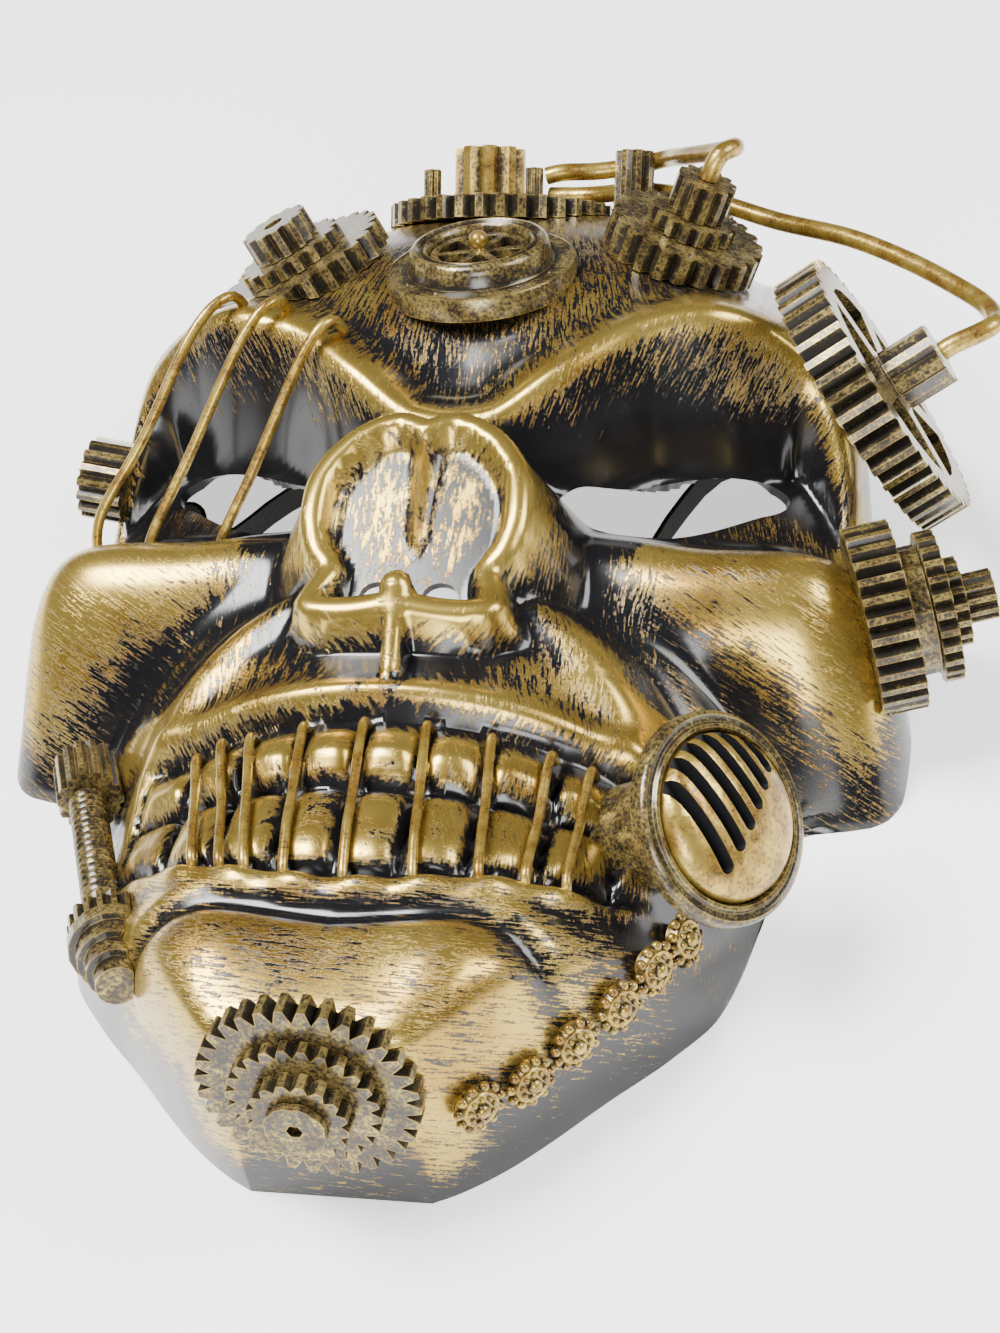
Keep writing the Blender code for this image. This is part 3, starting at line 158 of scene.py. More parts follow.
# Paint: brush strokes, specks and rubbed edges, and painted shade that darkens recesses
STROKE_LENGTH = 4.5 * MM
STROKE_WIDTH = 0.55 * MM
WALL_SHARE = 0.8
STROKE_GAIN = 4.4
PATCH_GAIN = 0.9
SPECK_GAIN = 1.6
SPECK_SCALE = 1500.0
RECESS_SHADE_GAIN = 1.7
GRAIN_SCALE = 1400.0
GEAR_PATCH_SCALE = 220.0
GEAR_SHADE_REACH = 2.5 * MM
EDGE_RUB = 0.45 * MM
EDGE_GAIN = 0.55

# Gold that each part of the face gains or loses, from crests of three widths to the rim
GILD = {
    "ground": 0.27, "forehead": -0.10, "brow": 0.34, "socket": -0.62, "outer_wall": 0.30,
    "nose_tube": 0.34, "nose_floor": 0.26, "channel": -0.42, "rim": -0.14,
    "small": 0.16, "large": 0.18, "broad": 0.14}

# Zones of thicker gold, and zones brushed sideward
# Columns: gain, and in millimetres where the zone begins and ends along the face and ends outward
Zone = namedtuple("Zone", "gain low high side")
GILD_ZONES = {
    "cheek": Zone(0.14, (66, 84), (128, 118), (34, 50)),
    "chin": Zone(0.13, (-2, -1), (46, 36), (48, 38)),
    "teeth": Zone(0.30, (34, 40), (78, 72), (52, 44)),
    "lip": Zone(0.12, (72, 76), (96, 84), (56, 46))}
SIDE_STROKES = {
    "cheek": Zone(1.0, (66, 84), (134, 122), (38, 52)),
    "chin": Zone(1.0, (-2, -1), (44, 34), (200, 190))}

# Sections of the plan outline
# Columns: along as a share of MASK_LENGTH, half width as a share of HALF_WIDTH
OutlineRow = namedtuple("OutlineRow", "along half")
OUTLINE = [OutlineRow(*row) for row in (
    (0.000, 0.176), (0.008, 0.220), (0.027, 0.297), (0.046, 0.357), (0.088, 0.473),
    (0.126, 0.582), (0.164, 0.665), (0.244, 0.725), (0.321, 0.764), (0.332, 0.791),
    (0.342, 0.923), (0.353, 0.967), (0.374, 0.992), (0.427, 1.000), (0.477, 0.978),
    (0.515, 0.940), (0.553, 0.907), (0.611, 0.890), (0.687, 0.874), (0.782, 0.797),
    (0.859, 0.670), (0.916, 0.527), (0.954, 0.407), (0.981, 0.286), (0.996, 0.154),
    (1.000, 0.099))]

# Arches of jaw and muzzle
# Columns: along, half width, crown as a share of FACE_DEPTH, fullness and fall of the arch
MuzzleRow = namedtuple("MuzzleRow", "along half crown full fall")
MUZZLE = [MuzzleRow(*row) for row in (
    (0.000, 0.220, 0.621, 9.0, 0.50), (0.031, 0.313, 0.656, 9.0, 0.50),
    (0.069, 0.423, 0.667, 8.0, 0.50), (0.099, 0.505, 0.667, 6.0, 0.52),
    (0.134, 0.604, 0.661, 3.4, 0.58), (0.172, 0.681, 0.659, 2.4, 0.70),
    (0.210, 0.714, 0.670, 2.05, 0.80), (0.244, 0.725, 0.682, 2.0, 0.82),
    (0.286, 0.747, 0.697, 2.1, 0.80), (0.332, 0.747, 0.703, 2.3, 0.70),
    (0.382, 0.725, 0.705, 2.4, 0.65), (0.439, 0.681, 0.689, 2.2, 0.70),
    (0.496, 0.615, 0.636, 2.0, 0.80))]
MUZZLE_END = 0.466
MUZZLE_FADE = 1.6

# Crown of the forehead: along, crown
CrownRow = namedtuple("CrownRow", "along crown")
FOREHEAD = [CrownRow(*row) for row in (
    (0.534, 0.758), (0.576, 0.809), (0.611, 0.864), (0.649, 0.912), (0.687, 0.929),
    (0.725, 0.920), (0.763, 0.891), (0.802, 0.845), (0.840, 0.788), (0.878, 0.709),
    (0.916, 0.588), (0.947, 0.455), (0.973, 0.303), (0.992, 0.136), (1.000, 0.000))]

# Crest of the cheek plate: out as a share of HALF_WIDTH, along, height
CrestRow = namedtuple("CrestRow", "out along height")
CHEEK = [CrestRow(*row) for row in (
    (0.000, 0.462, 0.636), (0.220, 0.466, 0.644), (0.385, 0.458, 0.644), (0.582, 0.448, 0.636),
    (0.769, 0.450, 0.629), (0.879, 0.454, 0.606), (0.945, 0.454, 0.561), (1.000, 0.454, 0.500))]

# Brow crest and nose tube: out, along, height
BROW = [CrestRow(*row) for row in (
    (0.000, 0.561, 0.818), (0.055, 0.561, 0.826), (0.115, 0.567, 0.841), (0.231, 0.595, 0.902),
    (0.374, 0.635, 0.933), (0.536, 0.654, 0.939), (0.648, 0.663, 0.864), (0.747, 0.660, 0.742),
    (0.813, 0.641, 0.636), (0.849, 0.611, 0.538), (0.857, 0.580, 0.424), (0.846, 0.550, 0.318),
    (0.824, 0.523, 0.273))]
NOSE = [CrestRow(*row) for row in (
    (0.000, 0.492, 1.000), (0.066, 0.501, 1.000), (0.143, 0.487, 0.985), (0.200, 0.460, 0.955),
    (0.215, 0.430, 0.917), (0.198, 0.405, 0.871), (0.164, 0.387, 0.833), (0.179, 0.366, 0.826),
    (0.182, 0.350, 0.826), (0.099, 0.345, 0.838), (0.000, 0.346, 0.864))]
NOSE_RIDGE = [CrestRow(*row) for row in (
    (0.000, 0.397, 0.740), (0.000, 0.420, 0.850), (0.000, 0.492, 0.990))]
SPINE = [CrestRow(*row) for row in ((0.000, 0.356, 0.900), (0.000, 0.306, 0.758))]

# Floor of the eye socket: out, height
FloorRow = namedtuple("FloorRow", "out height")
SOCKET_FLOOR = [FloorRow(*row) for row in (
    (0.000, 0.697), (0.132, 0.652), (0.220, 0.576), (0.352, 0.500), (0.495, 0.470),
    (0.659, 0.409), (0.769, 0.348), (0.857, 0.303))]

# Lines drawn on the face: out, along
LineRow = namedtuple("LineRow", "out along")
FOLD = [LineRow(*row) for row in (
    (0.264, 0.378), (0.374, 0.351), (0.473, 0.309), (0.538, 0.260), (0.549, 0.221),
    (0.516, 0.187))]
GROOVE = [LineRow(*row) for row in (
    (0.330, 0.405), (0.462, 0.374), (0.571, 0.328), (0.626, 0.275))]
CREASE = [LineRow(*row) for row in (
    (0.000, 0.102), (0.132, 0.106), (0.242, 0.108), (0.330, 0.101), (0.407, 0.080),
    (0.440, 0.057))]
CHANNEL = [LineRow(*row) for row in (
    (0.385, 0.092), (0.440, 0.126), (0.516, 0.172), (0.615, 0.233), (0.725, 0.305))]
EYE_HOLE = [LineRow(*row) for row in (
    (0.225, 0.540), (0.264, 0.553), (0.330, 0.564), (0.418, 0.579), (0.505, 0.593),
    (0.604, 0.603), (0.670, 0.607), (0.714, 0.597), (0.698, 0.580), (0.637, 0.561),
    (0.549, 0.536), (0.473, 0.521), (0.385, 0.515), (0.308, 0.516), (0.253, 0.525))]
SOCKET_FOOT = [LineRow(0.824, 0.450), LineRow(0.000, 0.450)]

# Ways out of the face on which the ornaments stand
PORTHOLE_WAY = (-0.03, 0.22, 0.97)
RIGHT_STACK_WAY = (0.38, 0.20, 0.90)
TEMPLE_WAY = (0.84, 0.26, 0.47)
VALVE_WAY = (0.75, -0.30, 0.60)
ROSETTE_WAYS = (
    (0.70, -0.70, 0.10), (0.72, -0.69, 0.10), (0.71, -0.70, 0.12), (0.77, -0.61, 0.18),
    (0.82, -0.51, 0.25), (0.88, -0.27, 0.38))

# Ends of the left cheek rod, as shares of half width, length and depth
ROD_TOP = (-0.747, 0.325, 0.220)
ROD_FOOT = (-0.418, 0.069, 0.462)

# Mouth wires: top and bottom end as shares of half width
MOUTH_WIRES = [(-0.400, -0.304), (-0.340, -0.243), (-0.275, -0.190), (-0.160, -0.112),
               (-0.033, 0.004), (0.092, 0.136), (0.218, 0.255), (0.335, 0.335), (0.412, 0.405)]

# Routes chosen point by point, as shares of half width, length and depth
EYE_WIRE_ROUTES = [
    ((-0.528, 0.675, 0.870), (-0.549, 0.658, 0.985), (-0.620, 0.628, 0.935), (-0.735, 0.570, 0.690),
     (-0.838, 0.530, 0.500), (-0.852, 0.512, 0.330)),
    ((-0.420, 0.668, 0.880), (-0.434, 0.648, 0.995), (-0.500, 0.620, 0.930), (-0.625, 0.560, 0.650),
     (-0.705, 0.518, 0.480), (-0.715, 0.502, 0.400)),
    ((-0.278, 0.648, 0.850), (-0.292, 0.627, 0.980), (-0.350, 0.603, 0.915), (-0.460, 0.545, 0.655),
     (-0.530, 0.508, 0.500), (-0.538, 0.497, 0.420))]
HOSE_TOP_ROUTE = [
    (0.045, 0.926, 0.727), (0.090, 0.928, 0.735), (0.168, 0.936, 0.717), (0.262, 0.939, 0.727),
    (0.346, 0.935, 0.765), (0.410, 0.900, 0.860), (0.509, 0.856, 0.985), (0.553, 0.831, 1.060),
    (0.556, 0.815, 1.095), (0.535, 0.804, 1.105)]
HOSE_SIDE_ROUTE = [
    (0.050, 0.925, 0.650), (0.154, 0.918, 0.667), (0.284, 0.926, 0.660), (0.412, 0.897, 0.709),
    (0.502, 0.882, 0.714), (0.642, 0.855, 0.715), (0.814, 0.817, 0.750), (0.958, 0.779, 0.759),
    (1.074, 0.740, 0.765), (1.131, 0.714, 0.775), (1.152, 0.691, 0.790), (1.142, 0.672, 0.810)]


def steady(rows, column, at):
    """Smooth value of one table column, without overshoot between its rows."""
    xs = np.array([row[0] for row in rows], float)
    ys = np.array([getattr(row, column) for row in rows], float)
    gap = np.diff(xs)
    rise = np.diff(ys) / gap
    slope = np.zeros(len(xs))
    slope[0] = rise[0]
    slope[-1] = rise[-1]
    for k in range(1, len(xs) - 1):
        if rise[k - 1] * rise[k] > 0:
            before = 2 * gap[k] + gap[k - 1]
            after = gap[k] + 2 * gap[k - 1]
            slope[k] = (before + after) / (before / rise[k - 1] + after / rise[k])
    at = np.clip(at, xs[0], xs[-1])
    k = np.clip(np.searchsorted(xs, at) - 1, 0, len(xs) - 2)
    t = (at - xs[k]) / gap[k]
    return ((1 + 2 * t) * (1 - t) ** 2 * ys[k] + t * (1 - t) ** 2 * gap[k] * slope[k]
            + t * t * (3 - 2 * t) * ys[k + 1] + t * t * (t - 1) * gap[k] * slope[k + 1])


def ease(start, end, value):
    """0 before start, 1 past end, smooth between."""
    t = np.clip((value - start) / (end - start), 0, 1)
    return t * t * (3 - 2 * t)


def blend_max(a, b, width):
    """The higher of two surfaces, with a rounded valley between them."""
    share = np.clip(0.5 + 0.5 * (a - b) / width, 0, 1)
    return b + (a - b) * share + width * share * (1 - share)


def arch(share, full, fall):
    """Height of a superellipse arch, 1 at the middle and 0 at the side."""
    return np.clip(1 - np.clip(share, 0, 1) ** full, 0, 1) ** fall


def smooth_line(points, steps=CURVE_STEPS):
    """A smooth curve through the points."""
    p = np.array([points[0]] + list(points) + [points[-1]], float)
    line = []
    for i in range(1, len(p) - 2):
        for t in np.linspace(0, 1, steps, endpoint=False):
            line.append(0.5 * (2 * p[i] + (p[i + 1] - p[i - 1]) * t
                               + (2 * p[i - 1] - 5 * p[i] + 4 * p[i + 1] - p[i + 2]) * t * t
                               + (3 * p[i] - p[i - 1] - 3 * p[i + 1] + p[i + 2]) * t ** 3))
    line.append(p[-2])
    return np.array(line)


def sized(rows):
    """Table rows as metres: x, y and, where the row has a height, z."""
    scale = (HALF_WIDTH, MASK_LENGTH, FACE_DEPTH)
    return [tuple(value * size for value, size in zip(row, scale)) for row in rows]


def nearest(x, y, line):
    """Plan distance from each point to a line, and the line's height there."""
    best = np.full(np.shape(x), MASK_LENGTH)
    height = np.zeros(np.shape(x))
    for a, b in zip(line, line[1:]):
        run = b[:2] - a[:2]
        t = np.clip(((x - a[0]) * run[0] + (y - a[1]) * run[1]) / (run @ run), 0, 1)
        away = np.hypot(x - a[0] - t * run[0], y - a[1] - t * run[1])
        closer = away < best
        best = np.where(closer, away, best)
        if len(a) > 2:
            height = np.where(closer, a[2] + t * (b[2] - a[2]), height)
    return best, height


def within(x, y, outline):
    """True where a point lies inside a closed outline."""
    odd = np.zeros(np.shape(x), bool)
    for (x1, y1), (x2, y2) in zip(outline, np.roll(outline, -1, axis=0)):
        if y1 != y2:
            odd ^= ((y1 > y) != (y2 > y)) & (x < (x2 - x1) * (y - y1) / (y2 - y1) + x1)
    return odd


def hump(distance, half):
    """Bell-shaped weight of a fold or groove."""
    return np.exp(-(distance / half) ** 2)


BROW_LINE = smooth_line(sized(BROW))
NOSE_LINE = smooth_line(sized(NOSE))
RIDGE_LINE = np.array(sized(NOSE_RIDGE))
SPINE_LINE = np.array(sized(SPINE))
SOCKET_AREA = np.vstack([BROW_LINE[:, :2], sized(SOCKET_FOOT)])
NOSE_AREA = np.vstack([NOSE_LINE[:, :2], NOSE_LINE[::-1, :2] * (-1, 1)])


def half_width(y):
    """Half width of the rim outline at a place along the mask."""
    return HALF_WIDTH * steady(OUTLINE, "half", y / MASK_LENGTH)


def upper_face(out, y, edge):
    """Forehead, brow crest and eye socket."""
    crown = FACE_DEPTH * steady(FOREHEAD, "crown", y / MASK_LENGTH)
    dome = crown * arch(out / edge, FOREHEAD_FULL, EDGE_FALL)
    dome = dome - VALE_DEPTH * hump(out, VALE_HALF) * ease(0.725, 0.603, y / MASK_LENGTH)
    away, crest = nearest(out, y, BROW_LINE)
    rolled = np.sqrt(away * away + BROW_ROLL * BROW_ROLL) - BROW_ROLL
    outer = blend_max(dome, crest - BROW_BACK_SLOPE * rolled, FACE_BLEND)
    floor = FACE_DEPTH * np.interp(out / HALF_WIDTH, [row.out for row in SOCKET_FLOOR],
                                   [row.height for row in SOCKET_FLOOR])
    inner = blend_max(crest - SOCKET_SLOPE * rolled, floor, SOCKET_BLEND)
    return np.where(within(out, y, SOCKET_AREA), inner, outer)


def cheek_plate(out, y, edge):
    """Broad cheek plate that stands forward of the jaw."""
    crest_y = MASK_LENGTH * steady(CHEEK, "along", out / HALF_WIDTH)
    crest_z = FACE_DEPTH * steady(CHEEK, "height", out / HALF_WIDTH)
    climb = np.clip((y - CHEEK_FOOT) / (crest_y - CHEEK_FOOT), 0, 1)
    front = CHEEK_LIP + (crest_z - CHEEK_LIP) * np.sin(climb * math.pi / 2) ** CHEEK_SWELL
    rolled = np.sqrt((y - crest_y) ** 2 + CHEEK_ROLL ** 2) - CHEEK_ROLL
    back = crest_z - CHEEK_BACK_SLOPE * rolled
    plate = np.where(y < crest_y, front, back) * arch(out / edge, CHEEK_SQUARE, EDGE_FALL)
    return np.where(y < CHEEK_FOOT, -FACE_DEPTH, plate)


def muzzle(out, y):
    """Jaw and muzzle arch, with the upright chin wall."""
    along = y / MASK_LENGTH
    half = HALF_WIDTH * steady(MUZZLE, "half", along)
    crown = FACE_DEPTH * steady(MUZZLE, "crown", along)
    body = crown * arch(out / half, steady(MUZZLE, "full", along), steady(MUZZLE, "fall", along))
    body = body * np.sqrt(np.clip(1 - np.clip(1 - y / CHIN_ROUND, 0, 1) ** CHIN_SQUARE, 0, 1))
    return body - MUZZLE_FADE * np.clip(y - MUZZLE_END * MASK_LENGTH, 0, None)


def tooth_place(x, out, y):
    """Gum lines, and where a point lies across and up its tooth."""
    side = np.clip(out / MOUTH_HALF, 0, 1.2) ** 2
    low = LOWER_GUM + LOWER_GUM_RISE * side
    middle = BITE_LINE + BITE_RISE * side
    high = UPPER_GUM - UPPER_GUM_DROP * side
    bay = (x - TOOTH_OFFSET) / TOOTH_PITCH - 0.5
    across = 2 * (bay - np.round(bay))
    return low, middle, high, across


def mouth(x, out, y):
    """Change of height made by lips, gums and two rows of teeth."""
    low, middle, high, across = tooth_place(x, out, y)
    reach = ease(MOUTH_HALF + TOOTH_PITCH * 0.3, MOUTH_HALF - TOOTH_PITCH * 0.2, out)
    belt = ease(low - LIP_HALF, low + MOUTH_WIRE, y) * ease(high + LIP_HALF, high, y) * reach
    crown = np.sqrt(np.clip(1 - np.abs(across) ** 3, 0, 1))
    up = np.clip((y - middle) / (high - middle), 0, 1)
    down = np.clip((y - low) / (middle - low), 0, 1)
    upper = UPPER_TOOTH_HEIGHT * crown * np.interp(
        up, (0, 0.001, 0.1, 0.35, 0.62, 0.999, 1), (0, 0, 0.6, 1.0, 0.8, 0.05, 0))
    lower = LOWER_TOOTH_HEIGHT * crown * np.sqrt(np.clip(1 - np.abs(2 * down - 1) ** 3, 0, 1))
    lip = LIP_HEIGHT * hump(y - high - LIP_HALF * 1.3, LIP_HALF)
    gum = GUM_HEIGHT * hump(y - low + GUM_HALF * 1.5, GUM_HALF) * (
        1 + 0.5 * np.cos(across * math.pi))
    return belt * (upper + lower - MOUTH_DEPTH) + (lip + gum) * reach


def relief(out, y, edge):
    """Folds, channels and the chin's crease and crests."""
    fold, _ = nearest(out, y, FOLD_LINE)
    groove, _ = nearest(out, y, GROOVE_LINE)
    crease, _ = nearest(out, y, CREASE_LINE)
    channel, _ = nearest(out, y, CHANNEL_LINE)
    inside = ease(0.995, 0.90, out / edge)
    bump = np.hypot(out - CHIN_BUMP_X, y - CHIN_BUMP_Y)
    return (FOLD_HEIGHT * hump(fold, FOLD_HALF) - GROOVE_DEPTH * hump(groove, GROOVE_HALF)
            - CREASE_DEPTH * hump(crease, CREASE_HALF) * inside
            - CHANNEL_DEPTH * hump(channel, CHANNEL_HALF) * inside
            + CHIN_BUMP_HEIGHT * hump(bump, CHIN_BUMP_HALF))


def round_rib(away, crest, radius):
    """Height of a half-round rib, far below the face where the rib isn't."""
    top = crest - radius + np.sqrt(np.clip(radius * radius - away * away, 0, None))
    return np.where(away < radius, top, -FACE_DEPTH)


def nose(x, out, y):
    """Nose tube, its sunk floor with the middle ridge, and the spine below it."""
    away, crest = nearest(out, y, NOSE_LINE)
    foot_y = NOSE_LINE[-1][1]
    slope = np.where(y < foot_y, NOSE_FOOT_SLOPE, NOSE_WALL_SLOPE)
    wall = crest - NOSE_TUBE - slope * np.clip(away - NOSE_TUBE * 0.8, 0, None)
    outside = np.where(away < NOSE_TUBE, round_rib(away, crest, NOSE_TUBE), wall)
    floor = NOSE_FLOOR + NOSE_FLOOR_SLOPE * (y - NOSTRIL_Y)
    ridge_away, ridge_top = nearest(out, y, RIDGE_LINE)
    floor = np.maximum(floor, ridge_top - NOSE_FOOT_SLOPE * 0.35 * ridge_away)
    side = crest - NOSE_TUBE - 3.0 * np.clip(away - NOSE_TUBE * 0.7, 0, None)
    floor = blend_max(floor, side, NOSE_BLEND)
    sunk = within(x, y, NOSE_AREA) & (away > NOSE_TUBE * 0.75)
    body = np.where(sunk, floor, outside)
    spine_away, spine_top = nearest(out, y, SPINE_LINE)
    ball = np.hypot(out, y - SPINE_LINE[0][1])
    rod = round_rib(spine_away, spine_top, SPINE_RADIUS)
    knob = round_rib(ball, SPINE_LINE[0][2], SPINE_BALL)
    return body, np.maximum(rod, knob)


FOLD_LINE = smooth_line(sized(FOLD))
GROOVE_LINE = smooth_line(sized(GROOVE))
CREASE_LINE = smooth_line(sized(CREASE))
CHANNEL_LINE = smooth_line(sized(CHANNEL))
NOSE_NEAR = 2 * NOSE_LINE[:, 0].max()
NOSE_LOW = NOSE_LINE[:, 1].min() - 0.05 * MASK_LENGTH
NOSE_HIGH = NOSE_LINE[:, 1].max() + 0.11 * MASK_LENGTH
JAW_TOP = 0.38 * MASK_LENGTH
FACE_START = 0.45 * MASK_LENGTH


def face_height(x, y):
    """Height of the outer face over a point of the plan."""
    x = np.asarray(x, float)
    y = np.asarray(y, float)
    out = np.abs(x)
    edge = half_width(y)
    jaw = muzzle(out, y)
    blend = CHEEK_BLEND * ease(CHEEK_FOOT * 0.95, CHEEK_FOOT * 1.04, y) + WALL * 0.01
    with_cheek = blend_max(jaw, cheek_plate(out, y, edge), blend)
    outer_jaw = (y > CHEEK_FOOT * 0.95) & (out > 0.22 * HALF_WIDTH)
    height = np.where(outer_jaw | (y > JAW_TOP), with_cheek, jaw)
    with_brow = blend_max(height, upper_face(out, y, edge), FACE_BLEND)
    height = np.where(y > FACE_START, with_brow, height)
    height = height + relief(out, y, edge) + mouth(x, out, y)
    body, spine = nose(x, out, y)
    near_nose = (y > NOSE_LOW) & (y < NOSE_HIGH) & (out < NOSE_NEAR)
    height = np.where(near_nose, blend_max(height, body, NOSE_BLEND), height)
    height = np.maximum(height, spine)
    return np.clip(height, 0, None) * arch(out / edge, RIM_SQUARE, EDGE_FALL)


def grid_shares(count, even, reach):
    """Even shares from 0 to 1 that crowd together near 1."""
    s = np.linspace(0, 1, count)
    crowd = 1 - (1 - np.clip((s - even) / (1 - even), 0, 1)) ** 2 * (1 - reach)
    return np.where(s < even, s / even * reach, crowd)


def frame_shift():
    """Where the design's own origin, the middle of the chin's rim, lies in the frame."""
    low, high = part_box("mask_shell")
    return Vector(((low[0] + high[0]) / 2, low[1], 0))


SHIFT = frame_shift()


def add_object(name, data):
    """Link a new object to the scene."""
    made = bpy.data.objects.new(name, data)
    bpy.context.scene.collection.objects.link(made)
    return made


def evaluated_mesh(item):
    """The mesh of an object with its modifiers applied."""
    bpy.context.view_layer.update()
    graph = bpy.context.evaluated_depsgraph_get()
    return bpy.data.meshes.new_from_object(item.evaluated_get(graph))


def weld(mesh):
    """Join points that lie together."""
    shape = bmesh.new()
    shape.from_mesh(mesh)
    bmesh.ops.remove_doubles(shape, verts=shape.verts, dist=0.01 * MM)
    bmesh.ops.recalc_face_normals(shape, faces=shape.faces)
    shape.to_mesh(mesh)
    shape.free()


def flat_mesh(name, outlines, thickness, base=0.0):
    """A flat plate from closed outlines, the later ones being holes."""
    curve = bpy.data.curves.new(name, "CURVE")
    curve.dimensions = "2D"
    curve.fill_mode = "BOTH"
    curve.extrude = thickness / 2
    for outline in outlines:
        line = curve.splines.new("POLY")
        line.points.add(len(outline) - 1)
        line.use_cyclic_u = True
        for point, (px, py) in zip(line.points, outline):
            point.co = (px, py, 0, 1)
    guide = add_object(name + "_guide", curve)
    mesh = evaluated_mesh(guide)
    bpy.data.objects.remove(guide)
    mesh.transform(Matrix.Translation((0, 0, base + thickness / 2)))
    weld(mesh)
    return mesh


def on_circle(radius, turn):
    """The point of a circle at a turn."""
    return radius * math.cos(turn), radius * math.sin(turn)


def ring_points(radius, count):
    """Evenly spaced points of a circle."""
    return [on_circle(radius, 2 * math.pi * k / count) for k in range(count)]


def turned_mesh(name, profile, sides):
    """A turned piece from its outer profile, top to bottom, radius and height in millimetres."""
    mesh = bpy.data.meshes.new(name)
    edges = [(k, k + 1) for k in range(len(profile) - 1)]
    mesh.from_pydata([(radius * MM, 0, height * MM) for radius, height in profile], edges, [])
    guide = add_object(name + "_guide", mesh)
    spin = guide.modifiers.new("turn", "SCREW")
    spin.steps = sides
    spin.render_steps = sides
    spin.use_merge_vertices = True
    spin.merge_threshold = 0.01 * MM
    made = evaluated_mesh(guide)
    bpy.data.objects.remove(guide)
    weld(made)
    return made


def tube_mesh(name, points, radius, resolution=2):
    """A round wire or hose along the points, with closed ends."""
    curve = bpy.data.curves.new(name, "CURVE")
    curve.dimensions = "3D"
    curve.bevel_depth = radius
    curve.bevel_resolution = resolution
    curve.use_fill_caps = True
    line = curve.splines.new("POLY")
    line.points.add(len(points) - 1)
    for point, place in zip(line.points, points):
        point.co = (*place, 1)
    guide = add_object(name + "_guide", curve)
    mesh = evaluated_mesh(guide)
    bpy.data.objects.remove(guide)
    weld(mesh)
    return mesh


def stand(point, axis, lift=0.0):
    """Place and turn that set a piece's +Z along the axis."""
    turn = Vector(axis).to_track_quat("Z", "Y").to_matrix().to_4x4()
    return Matrix.Translation(Vector(point) + Vector(axis).normalized() * lift) @ turn


def tube_path(route, spacing):
    """Points spaced evenly on the smooth curve through a route."""
    line = smooth_line(sized(route), 12)
    step = np.linalg.norm(np.diff(line, axis=0), axis=1)
    run = np.concatenate([[0], np.cumsum(step)])
    count = max(4, int(round(run[-1] / spacing)) + 1)
    at = np.linspace(0, run[-1], count)
    return [tuple(np.interp(at, run, line[:, axis])[k] for axis in range(3)) for k in range(count)]


def wire_height(x, y, radius):
    """Lowest height at which a wire's middle clears the face."""
    reach = radius + FIT_GAP
    best = 0.0
    for shift in np.linspace(-reach, reach, 9):
        lift = math.sqrt(max(reach * reach - shift * shift, 0))
        for slide in (-reach, 0, reach):
            best = max(best, float(face_height(x + shift, y + slide)) + lift)
    return best


def top_of(name, axis):
    """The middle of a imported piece's top along its axis, in the design's own frame."""
    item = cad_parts[name]
    way = Vector(axis).normalized()
    points = [item.matrix_world @ corner.co - SHIFT for corner in item.data.vertices]
    high = max(point.dot(way) for point in points)
    ring = [point for point in points if point.dot(way) > high - 0.15 * MM]
    low_side = Vector([min(point[k] for point in ring) for k in range(3)])
    high_side = Vector([max(point[k] for point in ring) for k in range(3)])
    return (low_side + high_side) / 2, way


def turned_to(x_way, y_way, z_way, place):
    """Place and turn that set +X, +Y and +Z along three ways."""
    columns = (x_way, y_way, z_way, place)
    return Matrix([[column[row] for column in columns] for row in range(3)] + [[0, 0, 0, 1]])


def joined(name, meshes):
    """One mesh from several."""
    shape = bmesh.new()
    for mesh in meshes:
        shape.from_mesh(mesh)
    made = bpy.data.meshes.new(name)
    shape.to_mesh(made)
    shape.free()
    return made


def ball(radius, place, flat=1.0, detail=2):
    """A bead, pressed flat by a share."""
    mesh = bpy.data.meshes.new("bead")
    shape = bmesh.new()
    bmesh.ops.create_icosphere(shape, subdivisions=detail, radius=radius)
    shape.to_mesh(mesh)
    shape.free()
    mesh.transform(Matrix.Translation(place) @ Matrix.Diagonal((1, 1, flat, 1)))
    return mesh


def rounded(item, width, degrees=35):
    """Round an object's edges."""
    step = item.modifiers.new("rounding", "BEVEL")
    step.width = width
    step.segments = 2
    step.limit_method = "ANGLE"
    step.angle_limit = math.radians(degrees)


def painted(name):
    """A new material and its node tree, with the shader node."""
    made = bpy.data.materials.new(name)
    made.use_nodes = True
    tree = made.node_tree
    return made, tree, tree.nodes["Principled BSDF"]


def node(tree, kind, **settings):
    """Add a node and set its properties."""
    made = tree.nodes.new(kind)
    for key, value in settings.items():
        setattr(made, key, value)
    return made


def calc(tree, operation, first, second=0.0, third=0.0):
    """A math node fed with sockets or numbers."""
    made = node(tree, "ShaderNodeMath", operation=operation)
    for socket, value in zip(made.inputs, (first, second, third)):
        if isinstance(value, bpy.types.NodeSocket):
            tree.links.new(value, socket)
        else:
            socket.default_value = value
    return made.outputs[0]


def total(tree, first, *others):
    """The sum of several values."""
    for other in others:
        first = calc(tree, "ADD", first, other)
    return first


def swing(tree, value, gain, middle=0.5):
    """A value spread by a gain about the middle, which becomes zero."""
    return calc(tree, "MULTIPLY_ADD", value, gain, -gain * middle)


def fade(tree, value, start, end, low=0.0, high=1.0):
    """A smooth step from low to high between start and end."""
    made = node(tree, "ShaderNodeMapRange", interpolation_type="SMOOTHSTEP")
    tree.links.new(value, made.inputs["Value"])
    for key, number in (("From Min", start), ("From Max", end), ("To Min", low), ("To Max", high)):
        made.inputs[key].default_value = number
    return made.outputs[0]


def mixed(tree, share, first, second):
    """A colour between two colours or sockets."""
    made = node(tree, "ShaderNodeMix", data_type="RGBA")
    tree.links.new(share, made.inputs[0])
    for socket, value in ((made.inputs[6], first), (made.inputs[7], second)):
        if isinstance(value, bpy.types.NodeSocket):
            tree.links.new(value, socket)
        else:
            socket.default_value = (*value, 1.0)
    return made.outputs[2]


